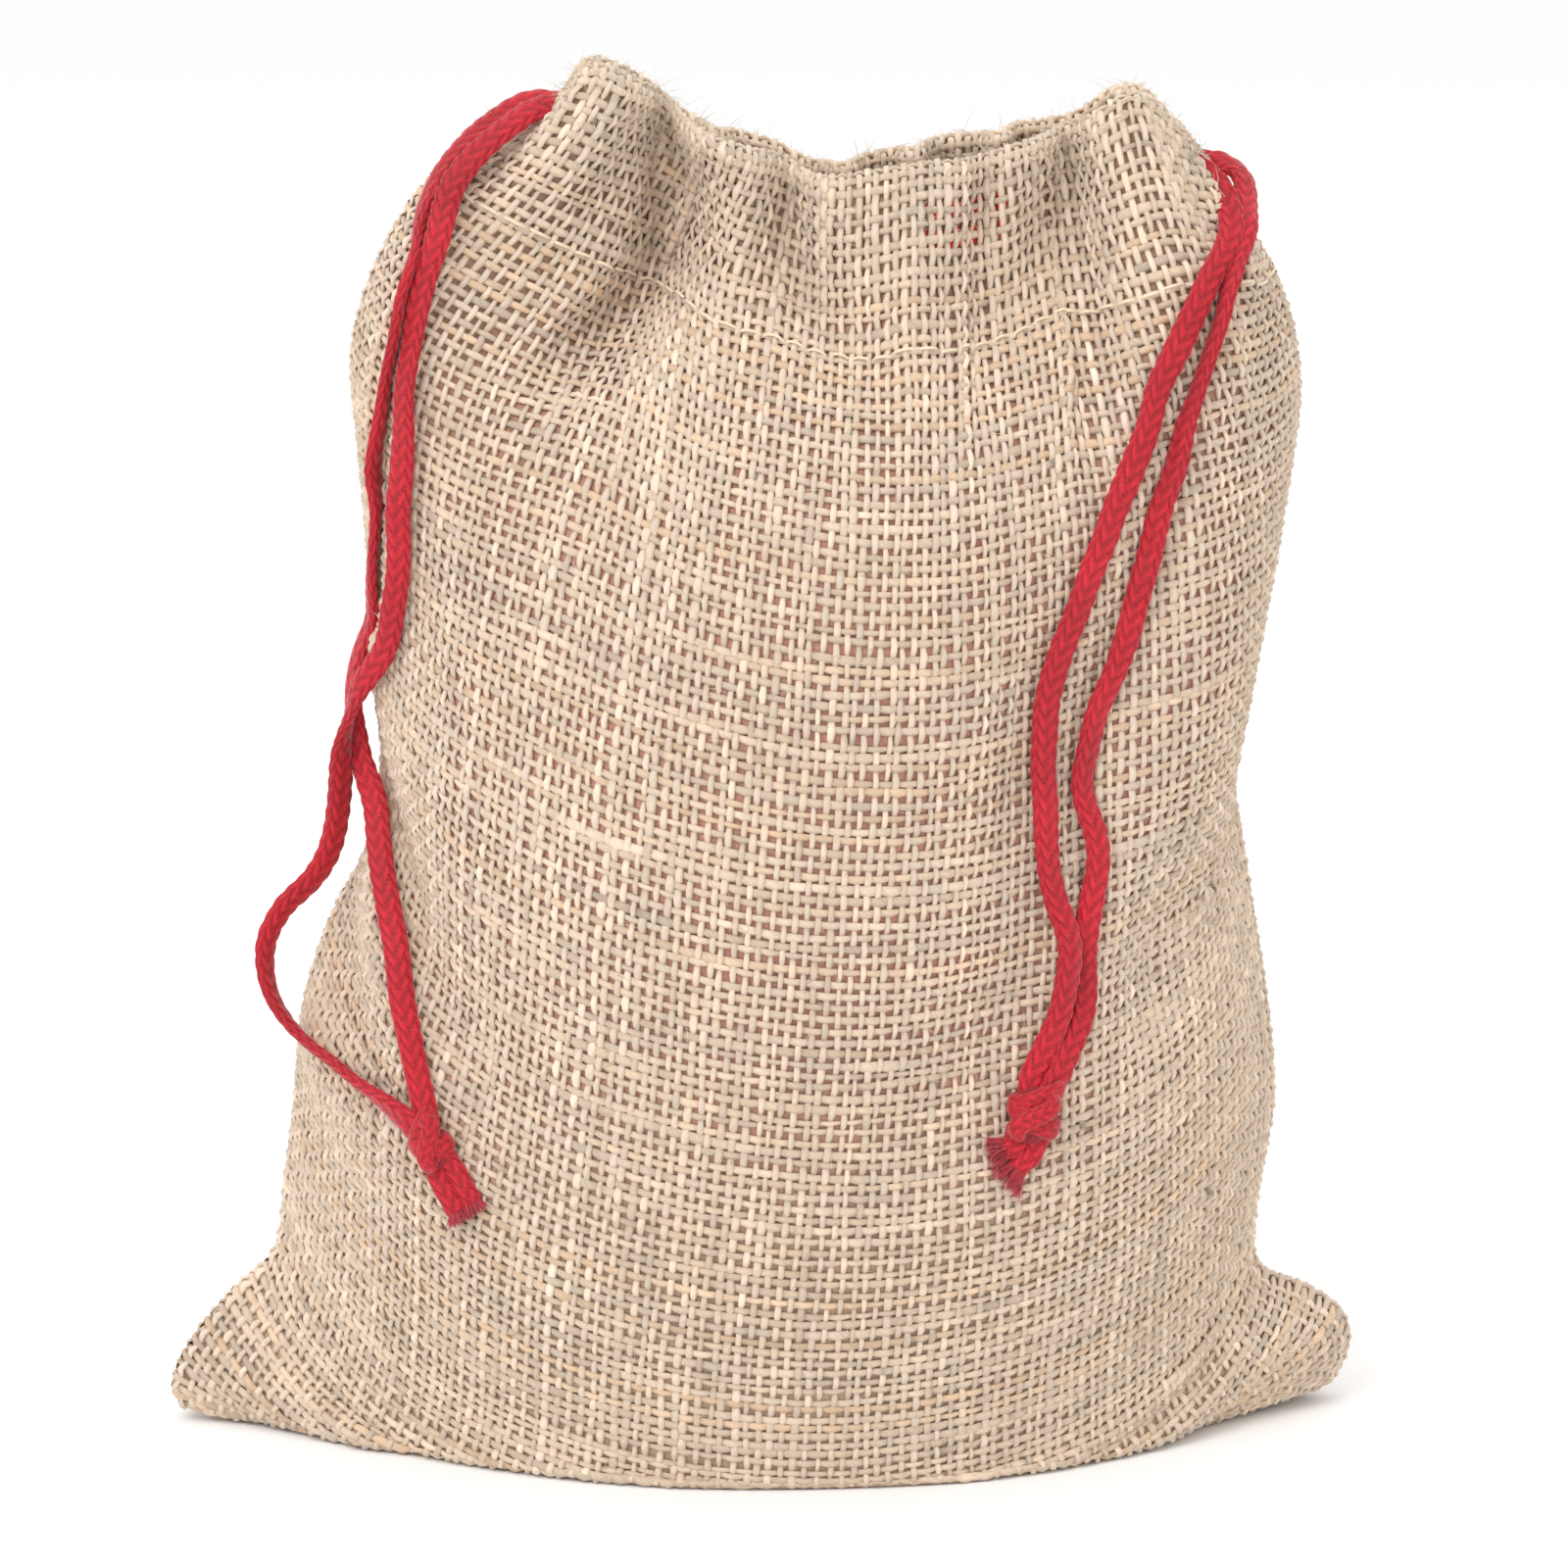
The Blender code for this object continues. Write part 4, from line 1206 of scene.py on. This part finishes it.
@dataclass
class CordRuns:
    """The stretch of a draw cord inside the hem of one panel, seen only through the gaps in the weave.

    It is built only between two places across the sack: nearer to the corners the deep folds leave it no room.
    """

    cord: str
    face: Face
    cloth: SackCloth
    mouth: Mouth
    braid: Braid
    material: bpy.types.Material
    drop: float
    depth: float = 1.3  # behind the cloth's surface
    shown_lift: float = 0.65  # towards the surface where it shows on the front
    shown_middle: float = 28.5
    shown_half: float = 5.5
    first_x: float = -3.5
    last_x: float = 49.0

    def build(self) -> None:
        """Lays the flat cord between the hem's two layers, cut at the same places as the cloth."""
        w = self.cloth.weave
        u = np.linspace(4.0, w.warps - 3.0, 700)
        v = np.full_like(u, w.wefts - self.drop / w.pitch)
        place, normal = self.cloth.at(self.face, u, v)
        near = (place[:, 0] - self.shown_middle) / self.shown_half
        seen = np.exp(-(near**4)) * (self.face is Face.FRONT)
        place = place - normal * (self.depth - self.shown_lift * seen)[:, None]
        spread = np.linspace(0, 1, int(line_length(place) / self.braid.step))
        normal = walk(np.concatenate([place, normal], 1), spread)[:, 3:]
        line = walk(place, spread)
        normal = unit(np.stack([np.interp(spread, np.linspace(0, 1, len(normal)), normal[:, i])
                                for i in range(3)], 1))
        bundle = self.braid.threads(line, normal)
        x = (line[1:, 0] + line[:-1, 0]) / 2
        node = f"{self.cord}_cord_{self.face.word}_run"
        for number, zone in enumerate((Zone.MOUTH_LEFT, Zone.MOUTH_MIDDLE, Zone.MOUTH_RIGHT)):
            cells = ((self.mouth.zone(x) == number) & (x > self.first_x) & (x < self.last_x))[None]
            if not cells.any():
                continue
            parts = MeshParts.empty()
            parts.add(bundle, cells, self.braid.step, (0.0, 1.0))
            thing = parts.build(f"{node}_{zone.value}", self.material)
            if number == 1:
                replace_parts(thing, node)
            self.mouth.attach(thing, self.face, zone)
        LOG.info("%s", node)


@dataclass
class CordTurn:
    """The bend where a draw cord goes round inside one corner of the hem, from the front layer to the back."""

    cord: str
    x_from: float
    x_to: float
    z: float
    braid: Braid
    material: bpy.types.Material
    half_gap: float = 1.3  # from the middle of the hem to each layer's cord

    def build(self) -> None:
        """Lays a flat cord along a half turn in plan, at one height."""
        angle = np.linspace(-math.pi / 2, math.pi / 2, 15)
        reach = self.x_to - self.x_from
        bend = np.stack([self.x_from + reach * np.cos(angle), self.half_gap * np.sin(angle),
                         np.full(15, self.z)], 1)
        line = self.braid.even(bend)
        outward = unit(np.gradient(line, axis=0))
        outward = np.cross(outward, np.array([0, 0, 1.0])) * math.copysign(1, reach)
        parts = MeshParts.empty()
        bundle = self.braid.threads(line, unit(outward), 0.7)
        parts.add(bundle, np.ones((1, len(line) - 1), bool), self.braid.step, (0.0, 1.0), capped=True)
        thing = parts.build(self.cord + "_cord_turn_braid", self.material)
        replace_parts(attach(thing, "bag"), self.cord + "_cord_turn")


@dataclass
class Strand:
    """One hanging strand of a draw cord, from inside the hem over the shoulder and down to the knot."""

    name: str
    cord: str
    shoulder: tuple
    hanging: tuple
    length_m: float
    exit_mm: tuple
    twist: float
    rolls: tuple = ((0, 0), (1, 0))  # share of the length, and how far the flat side turns there

    def route(self, knot: tuple) -> Array:
        """The points it follows, down to the middle of its knot."""
        return np.array([*self.shoulder, *self.hanging, knot], float)

    def build(self, cloth: SackCloth, braid: Braid, knot: tuple,
              material: bpy.types.Material) -> bpy.types.Object:
        """Builds the strand as one braid along its route.

        Args:
            cloth: The cloth it lies on, which it keeps its flat side to.
            braid: Its make.
            knot: Middle of its knot.
            material: Its material.

        Returns:
            The piece.
        """
        rng = np.random.default_rng(int(self.twist * 100))
        line = braid.even(self.route(knot))
        place = np.arange(len(line))
        loose = np.clip(np.minimum(place - 60, len(line) - 30 - place) / 40, 0, 1)
        wave = drift(rng, 2, len(line), 11)[:, :, None] * loose[:, None]
        line = line + wave[0] * np.array([0.30, 0, 0.12]) + np.abs(wave[1]) * np.array([0, -0.18, 0])
        normal = cloth.nearest_normal(line[::12])
        kernel = np.exp(-0.5 * (np.arange(-9, 10) / 3.5) ** 2)
        kernel /= kernel.sum()
        wide = np.pad(normal, ((9, 9), (0, 0)), mode="edge")
        normal = np.stack([np.convolve(wide[:, i], kernel, "valid") for i in range(3)], 1)
        spread = np.linspace(0, 1, len(line))
        normal = unit(np.stack([np.interp(spread, np.linspace(0, 1, len(normal)), normal[:, i])
                                for i in range(3)], 1))
        tangent = unit(np.gradient(line, axis=0))
        normal = unit(normal - tangent * (normal * tangent).sum(1, keepdims=True))
        roll = np.clip(drift(rng, 1, len(line), 38)[0] * 0.35, -0.6, 0.6)
        roll = roll + np.interp(spread, *np.array(self.rolls, float).T)
        side = np.cross(tangent, normal)
        normal = normal * np.cos(roll)[:, None] + side * np.sin(roll)[:, None]
        narrow = np.clip((len(line) - 1 - np.arange(len(line))) / 8, 0.55, 1)
        bundle = braid.threads(line, normal, narrow)
        parts = MeshParts.empty()
        parts.add(bundle, np.ones((1, len(line) - 1), bool), braid.step, (0.0, 1.0), capped=True)
        thing = parts.build(self.name + "_braid", material)
        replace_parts(thing, self.name + "_shoulder", self.name + "_strand")
        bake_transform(thing)
        return thing


@dataclass
class CordKnot:
    """An overhand knot that ties a cord's two strands together, and the two loose ends under it."""

    cord: str
    middle: tuple
    axis: tuple
    radii: tuple
    ends: dict
    fray: float
    wraps: tuple = (-0.62, 0.02, 0.64)
    tilt: float = 0.42

    def frame(self) -> tuple[Array, Array, Array]:
        """The knot's axis and two unit vectors across it, the second one facing away from the cloth."""
        along = unit(np.array(self.axis, float))
        side = unit(np.cross(along, np.array([0.0, -1.0, 0.0])))
        return along, side, np.cross(side, along)

    def build(self, braid: Braid, material: bpy.types.Material) -> list[bpy.types.Object]:
        """Builds the knot as tilted loops of cord round a core, and one loop that crosses them.

        Each loop is an oval round the knot's axis, tilted out of square, and it is smaller toward the knot's
        ends, as the knot's outer shape is.

        Args:
            braid: The cord's make.
            material: Its material.

        Returns:
            The knot and its ends.
        """
        along, side, face = self.frame()
        middle = np.array(self.middle, float)
        turn = np.linspace(0, 2 * math.pi, 96)
        parts = MeshParts.empty()
        small = Braid(half_width=1.45, half_thick=0.85, sides=24, step=0.2, plait_pitch=1.5, plait_rise=0.11)
        rx, ry, rz = self.radii
        for number, level in enumerate(self.wraps):
            shrink = math.sqrt(1 - level * level) * 0.98
            lean = self.tilt * (1 if number % 2 == 0 else -0.7)
            loop = (middle + side * (np.cos(turn) * (rx - 0.7) * shrink)[:, None]
                    + face * (np.sin(turn) * (ry - 0.7) * shrink)[:, None]
                    + along * (level * rz * 0.9 + lean * rx * np.cos(turn + 0.6 * number))[:, None])
            out = unit(loop - middle - along * ((loop - middle) @ along)[:, None])
            count = int(line_length(loop) / small.step)
            shares = np.linspace(0, 1, count + 1)
            both = walk(np.concatenate([loop, out], 1), shares)
            bundle = small.threads(both[:, :3], unit(both[:, 3:]))
            parts.add(bundle, np.ones((1, count), bool), small.step, (number / 5, (number + 1) / 5 - 0.01))
        lap = np.linspace(-1, 1, 40)
        over = (middle + along * (lap * rz * 0.75)[:, None] + side * (0.5 * rx * np.sin(lap * 2.2))[:, None]
                + face * (ry * 1.02 * np.sqrt(1 - (0.85 * lap) ** 2))[:, None])
        count = int(line_length(over) / small.step)
        line = walk(over, np.linspace(0, 1, count + 1))
        out = unit(line - middle - along * (0.7 * ((line - middle) @ along))[:, None])
        bundle = small.threads(line, out, 0.9)
        parts.add(bundle, np.ones((1, count), bool), small.step, (0.61, 0.79), capped=True)
        lap = np.linspace(-0.95, 0.95, 30)
        line = middle + along * (lap * rz)[:, None]
        size = np.sqrt(1 - lap**2)[None]
        # The core gets a darker red than the cord: painted shade for the inside of the knot, seen between the loops.
        tint = np.broadcast_to(np.array(linear("#8e1f2b")), (1, 30, 3))
        core = Threads(line[None], np.broadcast_to(face, (1, 30, 3)), size * (rx - 0.8), size * (ry - 0.8),
                       tint, sides=20)
        parts.add(core, np.ones((1, 29), bool), 0.3, (0.81, 0.99), capped=True)
        knot = parts.build(self.cord + "_cord_knot_loops", material)
        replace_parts(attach(knot, self.cord + "_tail"), self.cord + "_cord_knot")
        made = [knot]
        for name, route in self.ends.items():
            made.append(self.end(name, np.array([self.middle, *route], float), braid, material))
        LOG.info("%s cord knot and its ends", self.cord)
        return made

    def end(self, name: str, route: Array, braid: Braid, material: bpy.types.Material) -> bpy.types.Object:
        """One loose end: a short braid that opens into a brush of single fibres.

        Args:
            name: CAD node that it stands for.
            route: Points from inside the knot to the tip.
            braid: The cord's make.
            material: Its material.

        Returns:
            The piece.
        """
        line = braid.even(route)
        count = len(line)
        stub = line[: int(count * (1 - 0.30 * self.fray))]
        _, _, face = self.frame()
        tangent = unit(np.gradient(stub, axis=0))
        normal = unit(face - tangent * (tangent @ face)[:, None])
        short = Braid(half_width=1.55, half_thick=0.95)
        narrow = np.clip(0.75 + 0.25 * np.arange(len(stub)) / 12, 0, 1)
        narrow = narrow * np.clip((len(stub) - np.arange(len(stub))) / 3, 0.5, 1)
        parts = MeshParts.empty()
        parts.add(short.threads(stub, normal, narrow), np.ones((1, len(stub) - 1), bool), short.step, (0.0, 0.49),
                  capped=True)
        rng = np.random.default_rng(int(abs(route[-1] @ route[-1])))
        hairs, segments = 220, 6
        ahead, side = tangent[-1], np.cross(tangent[-1], normal[-1])
        spot = rng.uniform(-1, 1, (hairs, 2))
        spot /= np.maximum(1, np.linalg.norm(spot, axis=1))[:, None]
        root = stub[-4] + side * (spot[:, :1] * 1.4) + normal[-1] * (spot[:, 1:] * 0.8)
        reach = rng.uniform(0.5, 1.0, hairs) * (1.2 + 2.4 * self.fray)
        out = side * (spot[:, :1] * 0.45 + rng.normal(0, 0.18, (hairs, 1))) + normal[-1] * (
            spot[:, 1:] * 0.35 + rng.normal(0, 0.15, (hairs, 1)))
        t = np.linspace(0, 1, segments)[None, :, None]
        way = root[:, None] + ahead * (reach[:, None, None] * t) + out[:, None] * (reach[:, None, None] * t**1.6)
        way = way - np.array([0, 0, 0.25]) * (reach[:, None, None] * t**2)
        radius = np.broadcast_to(np.array([1, 1, 0.9, 0.8, 0.65, 0.4]) * 0.085, (hairs, segments))
        tones = np.array([linear(code) for code in ("#c4303d", "#a32431", "#d24c55", "#b92b3a")])
        tone = tones[rng.integers(0, 4, hairs)]
        brush = Threads(way, np.broadcast_to(normal[-1], way.shape), radius, radius,
                        np.broadcast_to(tone[:, None], way.shape), sides=4)
        parts.add(brush, np.ones((hairs, segments - 1), bool), 0.5, (0.51, 1.0), capped=True)
        thing = parts.build(name + "_frayed", material)
        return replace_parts(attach(thing, self.cord + "_tail"), name)


# ---------------------------------------------------------------- the room


@dataclass
class Studio:
    """White paper, big soft lights and the camera."""

    target: tuple = (0.0035, 0.0, 0.0936)
    distance: float = 0.9
    elevation: float = 12.5
    sensor: float = 36.0
    lens: float = 143.8

    def camera(self) -> None:
        """Puts the camera in front of the sack, a little above its middle."""
        data = bpy.data.cameras.new("camera")
        data.sensor_width, data.lens = self.sensor, self.lens
        thing = bpy.data.objects.new("camera", data)
        bpy.context.scene.collection.objects.link(thing)
        rise = math.radians(self.elevation)
        away = Vector((0, -math.cos(rise), math.sin(rise))) * self.distance
        thing.location = Vector(self.target) + away
        thing.rotation_euler = (-away).to_track_quat("-Z", "Y").to_euler()
        bpy.context.scene.camera = thing

    def light(self, name: str, place: tuple, size: float, power: float) -> None:
        """Adds a square soft light that faces the sack.

        Args:
            name: Its name.
            place: Where it is, in metres.
            size: Its side, in metres.
            power: Its power, in watts.
        """
        data = bpy.data.lights.new(name, "AREA")
        data.size, data.energy = size, power
        thing = bpy.data.objects.new(name, data)
        bpy.context.scene.collection.objects.link(thing)
        thing.location = place
        aim = Vector((0, 0, 0.09)) - Vector(place)
        thing.rotation_euler = aim.to_track_quat("-Z", "Y").to_euler()

    def build(self) -> None:
        """Builds the paper, the white surroundings and the lights."""
        x, y = np.meshgrid(np.linspace(-4, 4, 9), np.linspace(-4, 4, 9))
        mesh = bpy.data.meshes.new("paper")
        index = np.arange(81).reshape(9, 9)
        faces = np.stack([index[:-1, :-1], index[:-1, 1:], index[1:, 1:], index[1:, :-1]], -1).reshape(-1, 4)
        mesh.from_pydata(np.stack([x.ravel(), y.ravel(), np.zeros(81)], 1).tolist(), [], faces.tolist())
        mesh.materials.append(StudioPaper().material())
        paper = bpy.data.objects.new("paper", mesh)
        bpy.context.scene.collection.objects.link(paper)
        world = bpy.data.worlds.new("white surroundings")
        world.use_nodes = True
        world.node_tree.nodes["Background"].inputs["Color"].default_value = (1, 1, 1, 1)
        world.node_tree.nodes["Background"].inputs["Strength"].default_value = 1.0
        bpy.context.scene.world = world
        bpy.context.scene.view_settings.view_transform = "Standard"
        self.light("key", (-0.55, -0.75, 0.95), 0.55, 5.0)
        self.light("fill", (0.85, -0.75, 0.45), 0.8, 0.6)
        self.light("top", (0.1, 0.1, 1.2), 0.9, 2.0)


LEFT_FRONT = Strand(
    "left_cord_front", "left",
    ((-20.6, 0.6, 187.2), (-23.2, -1.4, 188.6), (-26, -2.7, 190.2), (-28.6, -2.9, 191.2), (-31.5, -4, 190.9),
     (-34.8, -5.8, 188.9), (-38.8, -7.6, 185.6), (-42.1, -9.6, 181.2), (-44.5, -11.8, 175.6),
     (-46.1, -13.6, 169.4), (-46.9, -14.3, 166)),
    ((-47.8, -14.6, 162), (-49.2, -14.7, 154.2), (-50.1, -14.9, 145.9), (-50.5, -15, 137.6), (-50.6, -15, 130),
     (-51.3, -14.6, 122.9), (-53.1, -13.4, 115.7), (-56.6, -11.2, 109.6), (-58.9, -8.8, 103),
     (-59.9, -7.4, 95.2), (-60.6, -7, 88), (-63.5, -7, 81.8), (-68.3, -7.8, 76.9), (-70.5, -9, 71.5),
     (-69, -11, 64.5), (-63.9, -14.2, 58.8), (-56.2, -21, 54.6), (-49.7, -27.2, 51.1)),
    0.188, (-0.026, -0.0027, 0.1902), 1.7,
    ((0, 0), (0.16, 0.0), (0.55, 0.1), (0.62, 0.9), (0.74, 1.25), (0.92, 1.3), (0.97, 0.6), (1, 0)))
LEFT_BACK = Strand(
    "left_cord_back", "left",
    ((-20.5, 4.6, 187.2), (-26, 2.7, 190.2), (-28.9, 2.5, 191.3), (-32.4, 1.8, 191.4),
     (-36.2, 0.4, 189.6), (-40.7, -2.4, 186.4), (-44.6, -5.6, 181.9), (-47.3, -9.6, 175), (-49.2, -13, 169.3),
     (-50, -13.6, 166)),
    ((-50.8, -13.9, 161.8), (-52.7, -12.2, 152.4), (-53.8, -11.4, 141.2), (-54.3, -10.6, 129.9),
     (-55, -8.8, 121.1), (-56.6, -6.2, 113.8), (-57.5, -5.4, 107.4), (-56.5, -6.4, 100.7), (-55.3, -9.8, 92.9),
     (-53.4, -15.4, 84.2), (-51.7, -19.8, 75.3), (-50.3, -23.2, 66.2), (-48.4, -25.8, 58.4),
     (-47.1, -27.2, 52.6)),
    0.175, (-0.026, 0.0027, 0.1902), 2.9,
    ((0, 0), (0.16, 0.2), (0.25, 0.7), (0.5, 0.6), (0.62, 0.0), (1, 0)))
RIGHT_FRONT = Strand(
    "right_cord_front", "right",
    ((50.5, -2.7, 186.21), (55.5, -2.7, 184.83), (58.5, -2.7, 184.0), (62.2, -3.3, 182.2), (64.9, -4.9, 179.4),
     (65.9, -7.3, 176.1), (65.1, -9.9, 173.0), (62.2, -14.0, 168.2)),
    ((59.7, -16.8, 163), (56.4, -19.6, 156.3), (53, -22.6, 147.2), (49.6, -24.9, 138), (45.5, -26.8, 127.3),
     (42.2, -28.1, 119.3), (39.9, -28.9, 111.8), (39.1, -29.3, 102.9), (39.7, -30, 93.3), (40.8, -30.4, 84.9),
     (42.3, -30.9, 78.6), (42.6, -31.4, 73.3), (41.9, -31.8, 67.7), (39.7, -32.4, 62.2), (38.1, -33.1, 58.4)),
    0.154, (0.0625, -0.0027, 0.1829), 4.3)
RIGHT_BACK = Strand(
    "right_cord_back", "right",
    ((50.5, 2.7, 186.21), (56.5, 2.7, 184.56), (62.5, 2.7, 182.9), (65.5, 2.6, 182.6), (67.8, 1.2, 181.2),
     (68.4, -1.8, 178.8), (67.9, -5.6, 176), (66.8, -9.4, 172.3), (65.4, -12.8, 168.4), (64.6, -14.2, 166)),
    ((63.9, -15.6, 162.4), (62.4, -17.2, 157.3), (58.5, -20.8, 146.2), (55.4, -23, 134.9), (52.5, -24.4, 124.1),
     (49.5, -25.7, 116), (46.6, -27, 108.6), (45.5, -27.7, 101), (46.4, -28, 92.7), (47.3, -28.2, 85.7),
     (46.8, -28.6, 79.6), (46, -29.2, 73.3), (45.2, -30, 67.2), (43, -31.6, 61.8), (41, -33.1, 57.6)),
    0.160, (0.0625, 0.0027, 0.1829), 5.6,
    ((0, 0), (0.12, 0.3), (0.22, 0.9), (0.34, 0.7), (0.45, 0.0), (1, 0)))

LEFT_KNOT = CordKnot(
    "left", (-46.2, -28.4, 48), (0.48, -0.26, -0.84), (3.0, 2.7, 4.4),
    {"left_cord_front_end": ((-45.1, -29.7, 43.5), (-43.4, -30.5, 40.4), (-41.6, -31, 37.2)),
     "left_cord_back_end": ((-42.9, -29.7, 44.6), (-41.2, -30.5, 41.6), (-39.3, -31, 38.6))},
    fray=0.35)
RIGHT_KNOT = CordKnot(
    "right", (38.4, -34.1, 53.8), (-0.25, -0.17, -0.95), (4.0, 3.3, 4.4),
    {"right_cord_front_end": ((36, -34.8, 49.9), (33.8, -35.3, 49.2), (31.3, -35.6, 47.7)),
     "right_cord_back_end": ((38.5, -34.8, 49.1), (36, -35.4, 46.4), (33, -35.6, 43.4))},
    fray=1.0)


def cord_lines() -> Array:
    """Points along every strand that lies on the front of the sack."""
    found = []
    for strand in (LEFT_FRONT, LEFT_BACK, RIGHT_FRONT, RIGHT_BACK):
        points = smooth_line(np.array([*strand.shoulder, *strand.hanging], float), 4)
        found.append(points[(points[:, 1] < -8) & (points[:, 2] < 176)])
    return np.concatenate(found)


def seam_strips(cloth: SackCloth, yarn: bpy.types.Material) -> list[tuple[SeamStrip, str, str]]:
    """The strips along both side seams and the bottom seam, with the CAD nodes they stand for."""
    w, grid = cloth.weave, cloth.grid
    strips = []
    for side, column, toward in (("left", 0, 1.0), ("right", w.warps, -1.0)):
        edge = grid[column]
        edge = edge[(edge[:, 2] > 30) & (edge[:, 2] < 157)]
        inward = np.broadcast_to(np.array([toward, 0, 0]), edge.shape)
        tangent = unit(np.gradient(edge, axis=0))
        flat = unit(np.cross(tangent, inward)) * toward
        strips.append((SeamStrip(side + "_seam", edge, inward, flat, yarn), side + "_side_seam",
                       side + "_seam_stitching"))
    edge = grid[12:w.warps - 11, 0].copy()
    inward = np.broadcast_to(np.array([0, 0, 1.0]), edge.shape)
    flat = np.broadcast_to(np.array([0, -1.0, 0]), edge.shape)
    strips.append((SeamStrip("bottom_seam_strip", edge, inward, flat, yarn), "bottom_seam",
                   "bottom_seam_stitching"))
    return strips


def main() -> None:
    """Builds the room, the cords, the cloth and its sewing, piece by piece."""
    logging.basicConfig(level=logging.INFO, format="%(message)s")
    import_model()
    studio = Studio()
    studio.camera()
    weave, mouth = Weave(), Mouth()
    grid = ClothSolver(Outline(), weave, cord_lines(), 1.6).shape(900)
    cloth = SackCloth(weave, grid)
    LOG.info("cloth shaped: %s to %s mm", grid.min((0, 1)).round(1), grid.max((0, 1)).round(1))
    yarn, felt, red = JuteYarn().material(), JuteFeltAndGapShade().material(), RedBraid().material()
    braid = Braid()
    for knot, strands in ((LEFT_KNOT, (LEFT_FRONT, LEFT_BACK)), (RIGHT_KNOT, (RIGHT_FRONT, RIGHT_BACK))):
        tied = knot.build(braid, red)
        for strand, end in zip(strands, tied[1:]):
            piece = strand.build(cloth, braid, knot.middle, red)
            path = (braid.even(strand.route(knot.middle)) * MM).tolist()
            LOG.info("%s: %.4f m", strand.name, line_length(np.array(path)))
    runs = Braid(half_width=1.45, half_thick=0.6, sides=20, step=0.4, plaits=4, plait_pitch=1.7)
    for cord, drop, turn in (("left", 7.1, (50.0, 60.6, 179.9)), ("right", 4.1, (-19.0, -22.4, 189.6))):
        for face in Face:
            CordRuns(cord, face, cloth, mouth, runs, red, drop).build()
        CordTurn(cord, *turn, runs, red).build()
    for face in Face:
        Panel(face, cloth, mouth, yarn, felt).build()
        HemStitching(face, cloth, mouth, yarn).build()
    for strip, replaced, sewn in seam_strips(cloth, yarn):
        strip.build(replaced, sewn)
    studio.build()


if __name__ == "__main__":
    main()
